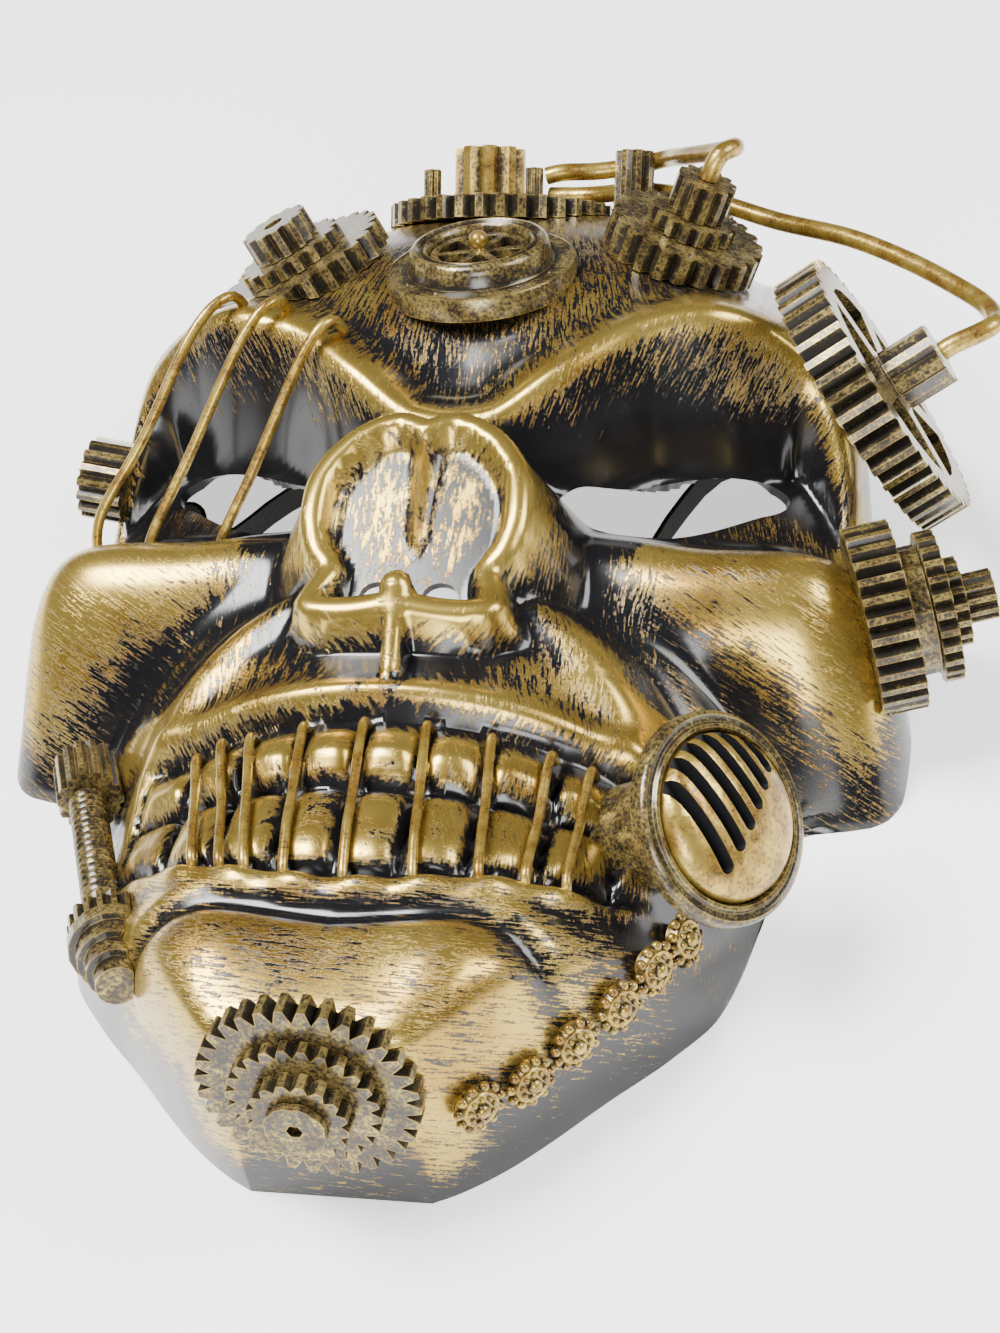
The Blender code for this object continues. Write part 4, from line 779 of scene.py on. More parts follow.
def noise(tree, vector, scale, detail=3.0, roughness=0.6):
    """Noise over a vector socket."""
    made = node(tree, "ShaderNodeTexNoise")
    made.inputs["Scale"].default_value = scale
    made.inputs["Detail"].default_value = detail
    made.inputs["Roughness"].default_value = roughness
    tree.links.new(vector, made.inputs["Vector"])
    return made.outputs["Fac"]


def finish_paint(tree, shader, gilt, tint, looks, gold, amber, black_rough, gold_rough):
    """Gold over glossy black: gilt is the share of gold and tint its shade."""
    shade = mixed(tree, tint, amber, gold)
    colour = mixed(tree, gilt, looks.black, shade)
    tree.links.new(colour, shader.inputs["Base Color"])
    tree.links.new(calc(tree, "MULTIPLY", gilt, 0.85), shader.inputs["Metallic"])
    rough = calc(tree, "MULTIPLY_ADD", gilt, gold_rough - black_rough, black_rough)
    tree.links.new(rough, shader.inputs["Roughness"])
    shader.inputs["Coat Weight"].default_value = 0.08
    shader.inputs["Coat Roughness"].default_value = 0.15


def painted_shade_openness(tree, reach):
    """Ambient occlusion, 1 on open surfaces and falling to 0 in recesses, which paints shade there.
    """
    made = node(tree, "ShaderNodeAmbientOcclusion", samples=8, only_local=True)
    made.inputs["Distance"].default_value = reach
    return made.outputs["AO"]


def face_paint(looks):
    """Glossy black with gold dry-brushed along the strokes laid over the face, and painted shade
    that takes the gold out of recesses.
    """
    made, tree, shader = painted("face_paint")
    gild = node(tree, "ShaderNodeAttribute", attribute_name="gild").outputs["Fac"]
    lay = node(tree, "ShaderNodeAttribute", attribute_name="lay").outputs["Fac"]
    up = node(tree, "ShaderNodeAttribute", attribute_name="stroke_up").outputs["Vector"]
    side = node(tree, "ShaderNodeAttribute", attribute_name="stroke_side").outputs["Vector"]
    blend = node(tree, "ShaderNodeMix")
    tree.links.new(lay, blend.inputs[0])
    tree.links.new(noise(tree, up, 1.0, 6.0, 0.72), blend.inputs[2])
    tree.links.new(noise(tree, side, 1.0, 6.0, 0.72), blend.inputs[3])
    place = node(tree, "ShaderNodeTexCoord").outputs["Object"]
    patch = noise(tree, place, looks.patch_scale, 2.0)
    speck = noise(tree, place, SPECK_SCALE, 4.0, 0.7)
    # The ambient occlusion term paints shade: recesses lose their gold and turn black.
    level = total(tree, gild, swing(tree, blend.outputs[0], STROKE_GAIN),
                  swing(tree, patch, PATCH_GAIN), swing(tree, speck, SPECK_GAIN),
                  swing(tree, painted_shade_openness(tree, looks.shadow_reach), RECESS_SHADE_GAIN, 1.0))
    gilt = fade(tree, level, 0.26, 0.66)
    tint = fade(tree, calc(tree, "ADD", patch, calc(tree, "MULTIPLY", gild, 0.25)), 0.42, 0.80)
    finish_paint(tree, shader, gilt, tint, looks, looks.gold, looks.amber, 0.18, 0.26)
    bump = node(tree, "ShaderNodeBump")
    bump.inputs["Strength"].default_value = 0.30
    bump.inputs["Distance"].default_value = 0.12 * MM
    tree.links.new(gilt, bump.inputs["Height"])
    tree.links.new(bump.outputs[0], shader.inputs["Normal"])
    return made


def metal_paint(name, looks, gold, amber, share):
    """Rubbed gold on the small parts: bright on edges, with painted shade making the corners black.
    """
    made, tree, shader = painted(name)
    place = node(tree, "ShaderNodeTexCoord").outputs["Object"]
    round_edge = node(tree, "ShaderNodeBevel", samples=6)
    round_edge.inputs["Radius"].default_value = EDGE_RUB
    flat = node(tree, "ShaderNodeNewGeometry").outputs["Normal"]
    facing = node(tree, "ShaderNodeVectorMath", operation="DOT_PRODUCT")
    tree.links.new(round_edge.outputs[0], facing.inputs[0])
    tree.links.new(flat, facing.inputs[1])
    edge = fade(tree, facing.outputs["Value"], 0.995, 0.90)
    grain = noise(tree, place, GRAIN_SCALE, 4.0)
    patch = noise(tree, place, GEAR_PATCH_SCALE, 2.0)
    # The ambient occlusion term paints shade: corners lose their gold and turn black.
    level = total(tree, calc(tree, "MULTIPLY_ADD", edge, EDGE_GAIN, share),
                  swing(tree, painted_shade_openness(tree, GEAR_SHADE_REACH), 0.9, 0.8),
                  swing(tree, grain, 1.2), swing(tree, patch, 0.4))
    gilt = fade(tree, level, 0.25, 0.75, 0.03, 1.0)
    tint = fade(tree, patch, 0.35, 0.65)
    finish_paint(tree, shader, gilt, tint, looks, gold, amber, 0.22, 0.34)
    return made


def plain_paint(name, colour, roughness):
    """One even colour."""
    made, _, shader = painted(name)
    shader.inputs["Base Color"].default_value = (*colour, 1.0)
    shader.inputs["Roughness"].default_value = roughness
    return made


def colour_setting(name, description, default):
    """A colour setting shown in the panel."""
    return bpy.props.FloatVectorProperty(
        name=name, description=description, default=default, subtype="COLOR", min=0.0, max=1.0)


def length_setting(name, description, default):
    """A length setting shown in the panel."""
    return bpy.props.FloatProperty(
        name=name, description=description, default=default, unit="LENGTH", min=0.0)


class MaskLooks(bpy.types.PropertyGroup):
    """Colours and sizes of the mask's looks."""

    black: colour_setting("Black", "Glossy black of the moulding", (0.006, 0.006, 0.007))
    gold: colour_setting("Gold", "Bright gold of crests and plates", (0.52, 0.365, 0.080))
    amber: colour_setting("Amber", "Warmer gold of thin paint", (0.33, 0.185, 0.028))
    gear_gold: colour_setting("Gear gold", "Greener gold of the gears", (0.42, 0.31, 0.095))
    gear_amber: colour_setting("Gear amber", "Brown of the gears' hollows", (0.22, 0.14, 0.035))
    patch_scale: bpy.props.FloatProperty(
        name="Patch scale", description="Patches of paint per metre", default=55.0)
    edge: length_setting("Edge", "Rounding of gear edges", 0.22 * MM)
    bead: length_setting("Bead", "Radius of a rosette's bead", 0.95 * MM)
    # Reach of the painted shade that blackens recesses.
    shadow_reach: length_setting("Recess reach", "How far a recess stays black", 9.0 * MM)
    rivet: length_setting("Rivet", "Radius of a rivet head", 0.45 * MM)
    floor: length_setting("Floor", "Width of the floor", 6.0)
    floor_colour: colour_setting("Floor colour", "Pale floor", (0.86, 0.86, 0.86))
    glow: bpy.props.FloatProperty(
        name="Floor glow", description="Light that the floor gives off", default=1.0)
    sky: bpy.props.FloatProperty(name="Sky", description="Light from all around", default=0.06)
    key: bpy.props.FloatProperty(
        name="Key light", description="Power of the main light", default=24.0, unit="POWER")
    fill: bpy.props.FloatProperty(
        name="Fill light", description="Power of the fill light", default=10.0, unit="POWER")


def material(name, make):
    """The material of that name, made when it isn't there yet."""
    return bpy.data.materials.get(name) or make()


def gold_paint(looks):
    """Paint of the wires, hoses, rosettes, crown hub, valve cap and porthole knob."""
    return material("gold_paint", lambda: metal_paint(
        "gold_paint", looks, looks.gold, looks.amber, 0.42))


def gear_paint(looks):
    """Paint of the gears, posts, rod, porthole rings and valve flange."""
    return material("gear_paint", lambda: metal_paint(
        "gear_paint", looks, looks.gear_gold, looks.gear_amber, 0.24))


def piece(name, mesh, finish, stands_for=(), place=None, degrees=40):
    """A finished piece of the looks, given in the design's own frame."""
    if place is not None:
        mesh.transform(place)
    mesh.transform(Matrix.Translation(SHIFT))
    mesh.materials.clear()
    mesh.materials.append(finish)
    mesh.shade_smooth()
    mesh.set_sharp_from_angle(angle=math.radians(degrees))
    made = add_object(name, mesh)
    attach(made, "root")
    if stands_for:
        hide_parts(*stands_for)
    return made


def zone_share(zone, out, y):
    """1 inside a zone of the face, fading to 0 past its edges."""
    share = 1.0
    for (start, end), place in ((zone.low, y), (zone.high, y), (zone.side, out)):
        share = share * ease(start * MM, end * MM, place)
    return share


def blurred(values, reach):
    """Mean over a square of cells, twice."""
    for _ in range(2):
        for axis in (0, 1):
            padded = np.concatenate([np.take(values, [0] * (reach + 1), axis), values,
                                     np.take(values, [-1] * reach, axis)], axis)
            total = np.cumsum(padded, axis)
            count = values.shape[axis]
            high = np.take(total, np.arange(2 * reach + 1, count + 2 * reach + 1), axis)
            low = np.take(total, np.arange(0, count), axis)
            values = (high - low) / (2 * reach + 1)
    return values


def gilding(x, y, z):
    """How much gold each point of the face carries, from 0 to 1."""
    out = np.abs(x)
    edge = half_width(y)
    small = np.tanh((z - blurred(z, 2)) / (0.30 * MM))
    large = np.tanh((z - blurred(z, 7)) / (1.6 * MM))
    broad = np.tanh((z - blurred(z, 16)) / (4.0 * MM))
    base = GILD["ground"] + GILD["forehead"] * ease(150 * MM, 176 * MM, y)
    for zone in GILD_ZONES.values():
        base += zone.gain * zone_share(zone, out, y)
    away, crest = nearest(out, y, BROW_LINE)
    base += GILD["brow"] * ease(5.0 * MM, 1.5 * MM, away)
    socket = within(out, y, SOCKET_AREA) * ease(0.8 * MM, 3.2 * MM, crest - z)
    base += GILD["socket"] * socket
    outer_wall = socket * ease(44 * MM, 56 * MM, x) * ease(150 * MM, 165 * MM, y)
    base += GILD["outer_wall"] * outer_wall
    tube, _ = nearest(out, y, NOSE_LINE)
    base += GILD["nose_tube"] * ease(5.5 * MM, 3.0 * MM, tube)
    floor = within(out, y, NOSE_AREA) * ease(3.0 * MM, 5.5 * MM, tube)
    base += GILD["nose_floor"] * floor
    channel, _ = nearest(x, y, CHANNEL_LINE)
    base += GILD["channel"] * ease(8.5 * MM, 5.5 * MM, channel)
    rim = ease(0.955, 0.99, out / edge)
    base += GILD["rim"] * rim
    return base + GILD["small"] * small + GILD["large"] * large + GILD["broad"] * broad


def stroke_places(x, y, z):
    """Coordinates along and across the brush strokes, upward and sideward."""
    out = np.abs(x)
    long_way = STROKE_LENGTH
    short_way = STROKE_WIDTH
    lean = math.radians(16)
    side_share = np.tanh(x / (20 * MM))
    fan = (x - WALL_SHARE * z * side_share) * math.cos(lean) + y * side_share * math.sin(lean)
    up = np.stack([fan / short_way, y / long_way, z / long_way], -1)
    lean = np.where(y < 62 * MM, math.radians(4), math.radians(42))
    along = x * np.cos(lean) - y * np.sin(lean)
    across = x * np.sin(lean) + y * np.cos(lean) + WALL_SHARE * z
    side = np.stack([along / long_way, across / short_way, z / long_way], -1)
    cheek, chin = (zone_share(zone, out, y) for zone in SIDE_STROKES.values())
    return up, side, np.maximum(cheek, chin)


def hole_outlines():
    """Outlines of the eye holes and nostrils, densely set with points."""
    eye = smooth_line(sized(EYE_HOLE + EYE_HOLE[:1]), 24)[:-1, :2]
    oval = np.array(ring_points(1, 96))
    nostril = oval * (NOSTRIL_HALF_X, NOSTRIL_HALF_Y) + (NOSTRIL_X, NOSTRIL_Y)
    return [line * (side, 1) for line in (eye, nostril) for side in (1, -1)]


def open_holes(x, y):
    """Draw the grid's lines onto the holes' edges, and tell which cells lie in a hole."""
    x = x.copy()
    y = y.copy()
    open_cells = np.zeros((x.shape[0] - 1, x.shape[1] - 1), bool)
    for line in hole_outlines():
        inside = within(x, y, line)
        padded = np.pad(~inside, 1)
        beside = np.zeros(x.shape, bool)
        for row in range(3):
            for column in range(3):
                beside |= padded[row:row + x.shape[0], column:column + x.shape[1]]
        edge = inside & beside
        away = np.hypot(x[edge][:, None] - line[:, 0], y[edge][:, None] - line[:, 1])
        closest = line[np.argmin(away, axis=1)]
        x[edge] = closest[:, 0]
        y[edge] = closest[:, 1]
        open_cells |= (inside[:-1, :-1] & inside[:-1, 1:] & inside[1:, 1:] & inside[1:, :-1])
    return x, y, open_cells


def fine_face():
    """The dense outer face with its paint values."""
    half = grid_shares(FINE_ACROSS // 2 + 1, 0.86, 0.955)
    across = np.concatenate([-half[:0:-1], half])
    ends = grid_shares(FINE_ALONG // 2 + 1, 0.93, 0.98)
    along = MASK_LENGTH * (1 + np.concatenate([-ends[:0:-1], ends])) / 2
    y = np.repeat(along[:, None], len(across), axis=1)
    x = across[None, :] * half_width(y)
    x, y, open_cells = open_holes(x, y)
    z = face_height(x, y)
    gild = gilding(x, y, z)
    up, side, lay = stroke_places(x, y, z)
    z[0] = z[-1] = 0
    z[:, 0] = z[:, -1] = 0
    rows, columns = x.shape
    points = np.stack([x, y, z], -1).reshape(-1, 3)
    place = np.arange(rows * columns).reshape(rows, columns)
    quads = np.stack([place[:-1, :-1], place[:-1, 1:], place[1:, 1:], place[1:, :-1]], -1)
    mesh = bpy.data.meshes.new("face")
    mesh.from_pydata(points.tolist(), [], quads[~open_cells].tolist())
    for name, values in (("gild", gild), ("lay", lay)):
        layer = mesh.attributes.new(name, "FLOAT", "POINT")
        layer.data.foreach_set("value", values.ravel().astype(np.float32))
    for name, values in (("stroke_up", up), ("stroke_side", side)):
        layer = mesh.attributes.new(name, "FLOAT_VECTOR", "POINT")
        layer.data.foreach_set("vector", values.ravel().astype(np.float32))
    return mesh


class MASK_OT_face(bpy.types.Operator):
    """Lay the finely shaped and painted face over the moulded shell"""

    bl_idname = "mask.face"
    bl_label = "Face"

    def execute(self, context):
        """Build the face."""
        looks = context.scene.mask_looks
        face = piece("face_skin", fine_face(), material("face_paint", lambda: face_paint(looks)),
                     ("mask_shell",), degrees=75)
        wall = face.modifiers.new("wall", "SOLIDIFY")
        wall.thickness = WALL
        wall.offset = -1
        mesh = evaluated_mesh(face)
        face.modifiers.clear()
        face.data = mesh
        for corner in mesh.vertices:
            corner.co.z = max(corner.co.z, 0)
        mesh.shade_smooth()
        mesh.set_sharp_from_angle(angle=math.radians(75))
        return {"FINISHED"}


GEAR_NODES = (
    "left_forehead_gear", "left_forehead_gear_small", "left_forehead_pinion",
    "right_forehead_gear", "right_forehead_gear_small", "right_forehead_pinion",
    "crown_gear", "crown_post_left", "crown_post_middle", "crown_post_right",
    "temple_gear", "temple_hub", "ear_housing", "ear_gear_large", "ear_gear_ring",
    "ear_gear_small", "ear_pinion", "left_temple_gear", "rod_nut", "rod_collar", "rod_cone",
    "chin_gear_ring", "chin_gear_second", "chin_pinion", "chin_cap")
GOLD_NODES = ("crown_hub",)


class MASK_OT_gears(bpy.types.Operator):
    """Round the edges of the gears and posts, and paint them"""

    bl_idname = "mask.gears"
    bl_label = "Gears"

    def execute(self, context):
        """Finish the gears."""
        looks = context.scene.mask_looks
        for names, paint in ((GEAR_NODES, gear_paint(looks)), (GOLD_NODES, gold_paint(looks))):
            for name in names:
                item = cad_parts[name]
                item.data.materials.clear()
                item.data.materials.append(paint)
                rounded(item, looks.edge)
        return {"FINISHED"}


class MASK_OT_wires(bpy.types.Operator):
    """Draw the wires over the left eye and through the teeth"""

    bl_idname = "mask.wires"
    bl_label = "Wires"

    def execute(self, context):
        """Build the wires."""
        looks = context.scene.mask_looks
        for count, route in enumerate(EYE_WIRE_ROUTES, 1):
            points = tube_path(route, 2.0 * MM)
            piece(f"fine_eye_wire_{count}", tube_mesh("wire", points, EYE_WIRE, 4),
                  gold_paint(looks), (f"eye_wire_{count}",))
        for count, (top, bottom) in enumerate(MOUTH_WIRES, 1):
            top_x = top * HALF_WIDTH
            low_x = bottom * HALF_WIDTH
            low = tooth_place(low_x, abs(low_x), 0)[0] - WIRE_LOW_PAST
            high = tooth_place(top_x, abs(top_x), 0)[2] - WIRE_HIGH_SHORT
            points = [(low_x, low, float(face_height(low_x, low)) - WALL / 2)]
            for share in WIRE_SHARES:
                x = low_x + (top_x - low_x) * share
                y = low + (high - low) * share
                points.append((x, y, wire_height(x, y, MOUTH_WIRE) + WIRE_SLACK))
            points.append((top_x, high, float(face_height(top_x, high)) - WALL / 2))
            fine = [tuple(point) for point in smooth_line(points, 6)]
            piece(f"fine_mouth_wire_{count}", tube_mesh("stitch", fine, MOUTH_WIRE, 4),
                  gold_paint(looks), (f"mouth_wire_{count}",))
        return {"FINISHED"}


# Porthole: the profile's columns are radius and height in millimetres
PORTHOLE_TOP = 7.2 * MM
PORTHOLE_FLOOR = 3.4 * MM
RIVET_COUNT = 12
RIVET_CIRCLE = 16.9 * MM
RIVET_LIFT = 2.3 * MM
WHEEL_OUTER = 10.3 * MM
WHEEL_INNER = 8.7 * MM
WHEEL_HUB = 2.4 * MM
WHEEL_THICK = 1.6 * MM
SPOKES = 6
SPOKE_HALF = 0.75 * MM
KNOB_RADIUS = 2.0 * MM
PORTHOLE_PROFILE = [(0.0, 3.4), (10.55, 3.4), (10.6, 5.6), (10.9, 6.6), (11.4, 7.0), (11.9, 6.6),
                    (12.3, 6.3), (12.7, 6.7), (13.3, 7.3), (14.0, 7.1), (14.6, 6.3), (14.8, 5.2),
                    (14.9, 2.9), (15.3, 2.3), (18.9, 2.2), (19.2, 2.5), (19.7, 2.4), (20.0, 1.8),
                    (20.0, -2.4), (0.0, -2.4)]


class MASK_OT_porthole(bpy.types.Operator):
    """Turn the porthole's rings, its spoked wheel, knob and rivets"""

    bl_idname = "mask.porthole"
    bl_label = "Porthole"

    def execute(self, context):
        """Build the porthole."""
        looks = context.scene.mask_looks
        top, axis = top_of("forehead_porthole", PORTHOLE_WAY)
        place = stand(top, axis, -PORTHOLE_TOP)
        rings = turned_mesh("porthole", PORTHOLE_PROFILE, ROUND_SIDES)
        rivets = [ball(looks.rivet, (x, y, RIVET_LIFT), 0.8)
                  for x, y in ring_points(RIVET_CIRCLE, RIVET_COUNT)]
        piece("fine_porthole", joined("porthole", [rings, *rivets]), gear_paint(looks),
              ("forehead_porthole",), place)
        outlines = [ring_points(WHEEL_OUTER, ROUND_SIDES)]
        far = math.asin(SPOKE_HALF / WHEEL_INNER)
        near = math.asin(SPOKE_HALF / WHEEL_HUB)
        for k in range(SPOKES):
            start = 2 * math.pi * k / SPOKES
            end = 2 * math.pi * (k + 1) / SPOKES
            opening = [on_circle(WHEEL_INNER, turn)
                       for turn in np.linspace(start + far, end - far, 11)]
            outlines.append(opening + [on_circle(WHEEL_HUB, end - near),
                                       on_circle(WHEEL_HUB, start + near)])
        lift = PORTHOLE_FLOOR + FIT_GAP
        wheel = piece("fine_wheel", flat_mesh("wheel", outlines, WHEEL_THICK, lift),
                      gear_paint(looks), ("porthole_wheel",), place)
        rounded(wheel, 0.3 * MM)
        lift += WHEEL_THICK
        stem = turned_mesh("stem", [(0, 1.6), (0.9, 1.5), (1.3, 0), (0, 0)], 20)
        stem.transform(Matrix.Translation((0, 0, lift)))
        knob = [ball(KNOB_RADIUS, (0, 0, lift + FIT_GAP + KNOB_RADIUS), 1.0, 3), stem]
        piece("fine_knob", joined("knob", knob), gold_paint(looks), ("porthole_knob",),
              place)
        return {"FINISHED"}


# Valve: the profiles' columns are radius and height in millimetres
VALVE_LIP = 1.6 * MM
VALVE_PROFILE = [(0.0, -0.6), (14.9, -0.6), (15.1, 0.9), (15.5, 1.6), (16.2, 1.6), (16.6, 1.0),
                 (17.4, 0.9), (17.9, 1.2), (18.5, 0.8), (18.8, 0.1), (18.8, -2.2), (18.2, -2.6),
                 (11.5, -3.4), (10.0, -4.6), (10.0, -24.0), (0.0, -24.0)]
CAP_PROFILE = [(0.0, 6.0), (3.0, 5.9), (6.0, 5.55), (9.0, 4.95), (11.5, 4.2), (13.2, 3.3),
               (14.2, 2.2), (14.7, 0.8), (14.8, 0.0), (0.0, 0.0)]
SLOT_WAY = (0.48, -0.39, -0.79)
SLOT_PLACES = (11.0, 7.3, 3.4, -0.6, -4.6, -8.7)
SLOT_REACH = 14.0
SLOT_MIDDLE = 1.6
SLOT_SLANT = 0.42
SLOT_HALF = 1.25
SLOT_FLOOR = 0.9


class MASK_OT_valve(bpy.types.Operator):
    """Turn the breathing valve and cut its slotted cap"""

    bl_idname = "mask.valve"
    bl_label = "Valve"

    def execute(self, context):
        """Build the valve."""
        looks = context.scene.mask_looks
        top, axis = top_of("valve_flange", VALVE_WAY)
        place = stand(top, axis, -VALVE_LIP)
        piece("fine_valve", turned_mesh("valve", VALVE_PROFILE, ROUND_SIDES), gear_paint(looks),
              ("valve_flange",), place)
        across = axis.cross(Vector(SLOT_WAY)).normalized()
        along = across.cross(axis)
        base = top - axis * (VALVE_LIP - FIT_GAP)
        turned = turned_to(along, across, axis, base)
        cap = piece("fine_cap", turned_mesh("cap", CAP_PROFILE, ROUND_SIDES), gold_paint(looks),
                    ("valve_cap",), turned)
        # Plain black on the insides of the slots is painted shade, for the deep slots that lie in
        # shadow.
        slot_shade = plain_paint("slot_painted_shade", looks.black, 0.4)
        tools = []
        for count, side in enumerate(SLOT_PLACES):
            start = -math.sqrt(SLOT_REACH ** 2 - side ** 2)
            end = SLOT_MIDDLE - SLOT_SLANT * side
            caps = [on_circle(SLOT_HALF, turn)
                    for turn in np.linspace(-math.pi / 2, math.pi / 2, 9)]
            outline = [((end + x) * MM, (side + y) * MM) for x, y in caps]
            outline += [((start - x) * MM, (side - y) * MM) for x, y in caps]
            mesh = flat_mesh("slot", [outline], FACE_DEPTH, SLOT_FLOOR * MM)
            mesh.transform(Matrix.Translation(SHIFT) @ turned)
            mesh.materials.append(slot_shade)
            tools.append(add_object(f"slot_{count}", mesh))
            step = cap.modifiers.new(f"slot_{count}", "BOOLEAN")
            step.solver = "EXACT"
            step.material_mode = "TRANSFER"
            step.object = tools[-1]
        mesh = evaluated_mesh(cap)
        cap.modifiers.clear()
        cap.data = mesh
        rounded(cap, 0.25 * MM)
        for tool in tools:
            bpy.data.objects.remove(tool)
        return {"FINISHED"}


# Rosettes: a disc's profile, and rings of beads: count, circle, share of the bead's radius, lift
DISC_PROFILE = [(0.0, 0.0), (3.3, 0.0), (3.7, -0.5), (3.7, -2.6), (0.0, -2.6)]
BEAD_RINGS = ((11, 4.1 * MM, 1.0, -0.9 * MM), (9, 2.3 * MM, 0.55, 0.1 * MM))
ROSETTE_KNOB = 1.45 * MM
ROSETTE_KNOB_LIFT = 0.1 * MM


class MASK_OT_rosettes(bpy.types.Operator):
    """Set rings of beads on the rosettes along the jaw"""

    bl_idname = "mask.rosettes"
    bl_label = "Rosettes"

    def execute(self, context):
        """Build the rosettes."""
        looks = context.scene.mask_looks
        for count, way in enumerate(ROSETTE_WAYS, 1):
            name = f"jaw_rosette_{count}"
            top, axis = top_of(name, way)
            parts = [turned_mesh("disc", DISC_PROFILE, 32)]
            for beads, circle, share, lift in BEAD_RINGS:
                for x, y in ring_points(circle, beads):
                    parts.append(ball(share * looks.bead, (x, y, lift)))
            parts.append(ball(ROSETTE_KNOB, (0, 0, ROSETTE_KNOB_LIFT), 0.9))
            piece("fine_" + name, joined("rosette", parts), gold_paint(looks), (name,),
                  stand(top, axis))
        return {"FINISHED"}


# Thread of the cheek rod, with its radii in millimetres
THREAD_TURNS = 19
THREAD_ROOT = 3.0
THREAD_CREST = 3.65


class MASK_OT_rod(bpy.types.Operator):
    """Cut the fine thread of the cheek rod"""

    bl_idname = "mask.rod"
    bl_label = "Cheek rod"

    def execute(self, context):
        """Build the rod."""
        looks = context.scene.mask_looks
        scale = (HALF_WIDTH, MASK_LENGTH, FACE_DEPTH)
        way = Vector([(a - b) * size for a, b, size in zip(ROD_TOP, ROD_FOOT, scale)])
        top, axis = top_of("threaded_rod", way)
        foot, _ = top_of("threaded_rod", -way)
        length = (top - foot).length / MM
        pitch = length / THREAD_TURNS
        profile = [(0, length)]
        for k in range(THREAD_TURNS):
            upper = length - k * pitch
            profile += [(THREAD_ROOT, upper - 0.05 * pitch), (THREAD_CREST, upper - 0.40 * pitch),
                        (THREAD_CREST, upper - 0.60 * pitch)]
        profile += [(THREAD_ROOT, 0), (0, 0)]
        piece("fine_rod", turned_mesh("thread", profile, 28), gear_paint(looks),
              ("threaded_rod",), stand(foot, axis))
        return {"FINISHED"}


class MASK_OT_hoses(bpy.types.Operator):
    """Draw the two hoses from the crown"""

    bl_idname = "mask.hoses"
    bl_label = "Hoses"

    def execute(self, context):
        """Build the hoses."""
        looks = context.scene.mask_looks
        ends = (("hose_top", HOSE_TOP_ROUTE, "right_forehead_pinion", RIGHT_STACK_WAY),
                ("hose_side", HOSE_SIDE_ROUTE, "temple_hub", TEMPLE_WAY))
        for name, route, plug, way in ends:
            top, axis = top_of(plug, way)
            reach = top + axis * (FIT_GAP + 0.1 * MM)
            points = [tuple(point) for point in sized(route)]
            points += [tuple(reach + axis * 1.4 * HOSE_RADIUS), tuple(reach)]
            line = [tuple(point) for point in smooth_line(points, 10)]
            piece("fine_" + name, tube_mesh("hose", line, HOSE_RADIUS, 6), gold_paint(looks),
                  (name,))
        return {"FINISHED"}


class MASK_OT_strap(bpy.types.Operator):
    """Paint the woven elastic"""

    bl_idname = "mask.strap"
    bl_label = "Strap"

    def execute(self, context):
        """Paint the strap."""
        looks = context.scene.mask_looks
        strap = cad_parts["elastic_strap"]
        strap.data.materials.clear()
        made, tree, shader = painted("elastic")
        place = node(tree, "ShaderNodeTexCoord").outputs["Object"]
        weave = node(tree, "ShaderNodeTexWave")
        weave.inputs["Scale"].default_value = 900.0
        tree.links.new(place, weave.inputs["Vector"])
        colour = mixed(tree, weave.outputs["Fac"], (0.012, 0.012, 0.012), (0.05, 0.05, 0.05))
        tree.links.new(colour, shader.inputs["Base Color"])
        shader.inputs["Roughness"].default_value = 0.85
        strap.data.materials.append(made)
        return {"FINISHED"}


# Camera of the photograph, in the design's own frame, with its place in millimetres
CAMERA_PLACE = (109.9, -229.4, 346.6)
CAMERA_RIGHT = (0.9788, 0.1635, -0.1240)
CAMERA_UP = (-0.0232, 0.6888, 0.7246)
CAMERA_BACK = (0.2039, -0.7062, 0.6779)
CAMERA_LENS = 66.4
CAMERA_SENSOR = 36.0


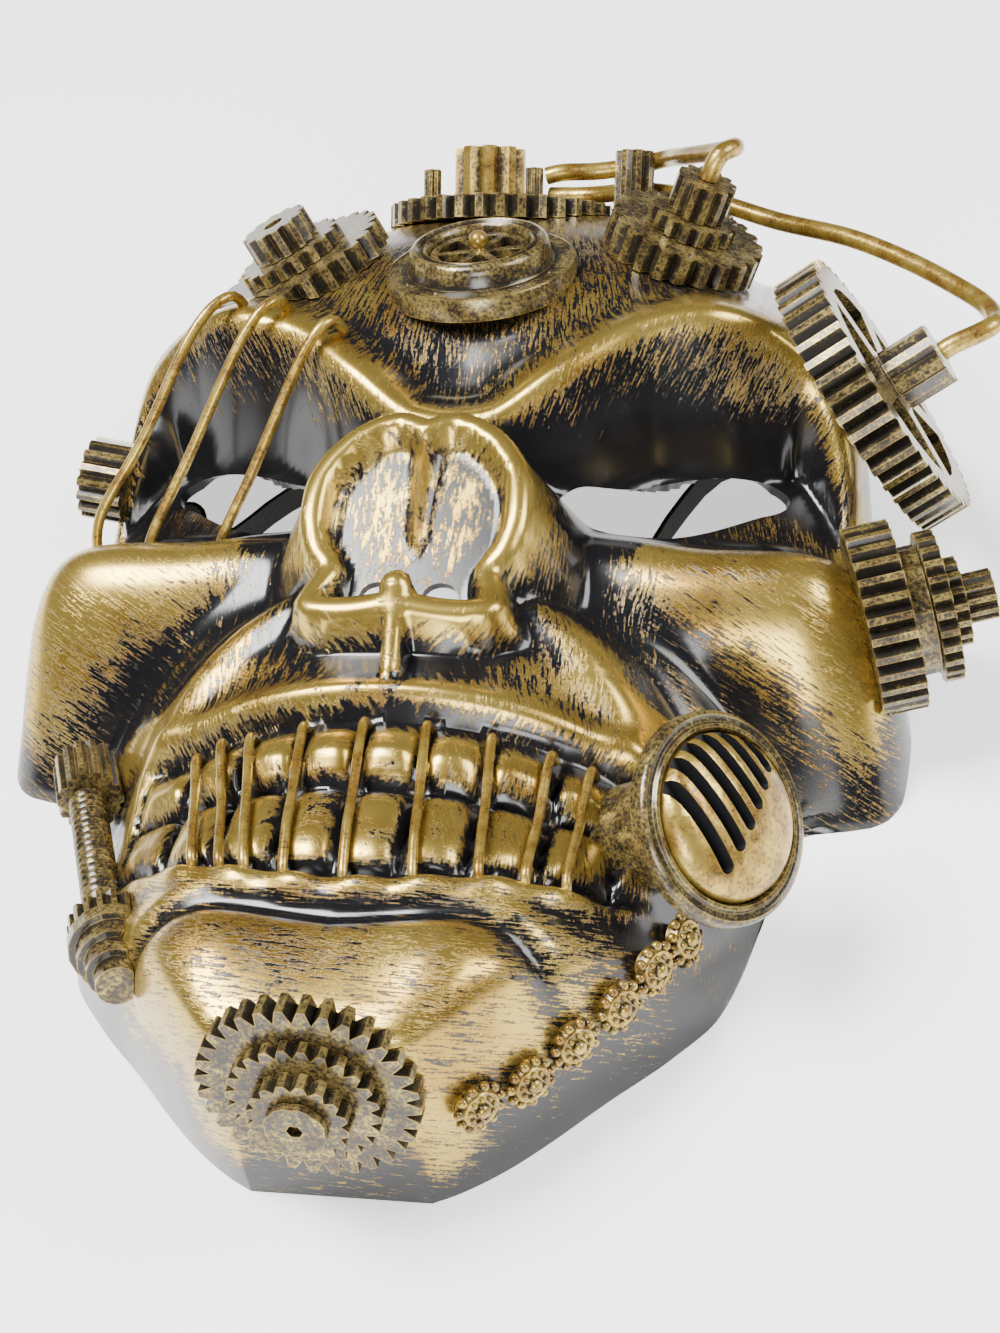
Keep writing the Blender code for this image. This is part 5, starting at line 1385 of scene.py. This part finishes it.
class MASK_OT_stage(bpy.types.Operator):
    """Set the floor, the lights and the camera"""

    bl_idname = "mask.stage"
    bl_label = "Stage"

    def execute(self, context):
        """Build the stage."""
        looks = context.scene.mask_looks
        half = looks.floor / 2
        mesh = bpy.data.meshes.new("floor")
        mesh.from_pydata([(-half, -half, 0), (half, -half, 0), (half, half, 0), (-half, half, 0)],
                         [], [(0, 1, 2, 3)])
        paint = plain_paint("floor_paint", looks.floor_colour, 0.9)
        shader = paint.node_tree.nodes["Principled BSDF"]
        shader.inputs["Emission Color"].default_value = (1.0, 1.0, 1.0, 1.0)
        shader.inputs["Emission Strength"].default_value = looks.glow
        mesh.materials.append(paint)
        floor = add_object("floor", mesh)
        world = bpy.data.worlds.new("studio")
        world.use_nodes = True
        back = world.node_tree.nodes["Background"]
        back.inputs["Color"].default_value = (1.0, 1.0, 1.0, 1.0)
        back.inputs["Strength"].default_value = looks.sky
        context.scene.world = world
        middle = Vector((0, 0, 30 * MM))
        lamps = (("key", (-0.38, -0.10, 0.85), 0.42, looks.key),
                 ("fill", (0.70, 0.05, 0.62), 0.50, looks.fill),
                 ("front", (0.10, -0.85, 0.40), 0.35, looks.fill * 0.6))
        for name, place, size, power in lamps:
            data = bpy.data.lights.new(name, "AREA")
            data.size = size
            data.energy = power
            lamp = add_object(name, data)
            lamp.location = place
            lamp.rotation_mode = "QUATERNION"
            lamp.rotation_quaternion = (middle - Vector(place)).to_track_quat("-Z", "Y")
        data = bpy.data.cameras.new("camera")
        data.sensor_width = CAMERA_SENSOR
        data.lens = CAMERA_LENS
        data.clip_start = 0.01
        camera = add_object("camera", data)
        camera.matrix_world = turned_to(CAMERA_RIGHT, CAMERA_UP, CAMERA_BACK,
                                        Vector(CAMERA_PLACE) * MM + SHIFT)
        context.scene.camera = camera
        return {"FINISHED"}


class MASK_PT_looks(bpy.types.Panel):
    """Settings and buttons of the mask."""

    bl_idname = "MASK_PT_looks"
    bl_label = "Skull mask"
    bl_space_type = "VIEW_3D"
    bl_region_type = "UI"
    bl_category = "Mask"

    def draw(self, context):
        """Draw the panel."""
        for key in MaskLooks.__annotations__:
            self.layout.prop(context.scene.mask_looks, key)
        for operator in OPERATORS:
            self.layout.operator(operator.bl_idname)


OPERATORS = (MASK_OT_face, MASK_OT_gears, MASK_OT_porthole, MASK_OT_valve, MASK_OT_rosettes,
             MASK_OT_rod, MASK_OT_wires, MASK_OT_hoses, MASK_OT_strap, MASK_OT_stage)
CLASSES = (MaskLooks, *OPERATORS, MASK_PT_looks)


def register():
    """Register the classes and the settings."""
    for item in CLASSES:
        bpy.utils.register_class(item)
    bpy.types.Scene.mask_looks = bpy.props.PointerProperty(type=MaskLooks)


def unregister():
    """Remove the settings and the classes."""
    del bpy.types.Scene.mask_looks
    for item in reversed(CLASSES):
        bpy.utils.unregister_class(item)


def main():
    """Build the looks."""
    register()
    bpy.ops.mask.face()
    bpy.ops.mask.gears()
    bpy.ops.mask.porthole()
    bpy.ops.mask.valve()
    bpy.ops.mask.rosettes()
    bpy.ops.mask.rod()
    bpy.ops.mask.wires()
    bpy.ops.mask.hoses()
    bpy.ops.mask.strap()
    bpy.ops.mask.stage()


if __name__ == "__main__":
    main()
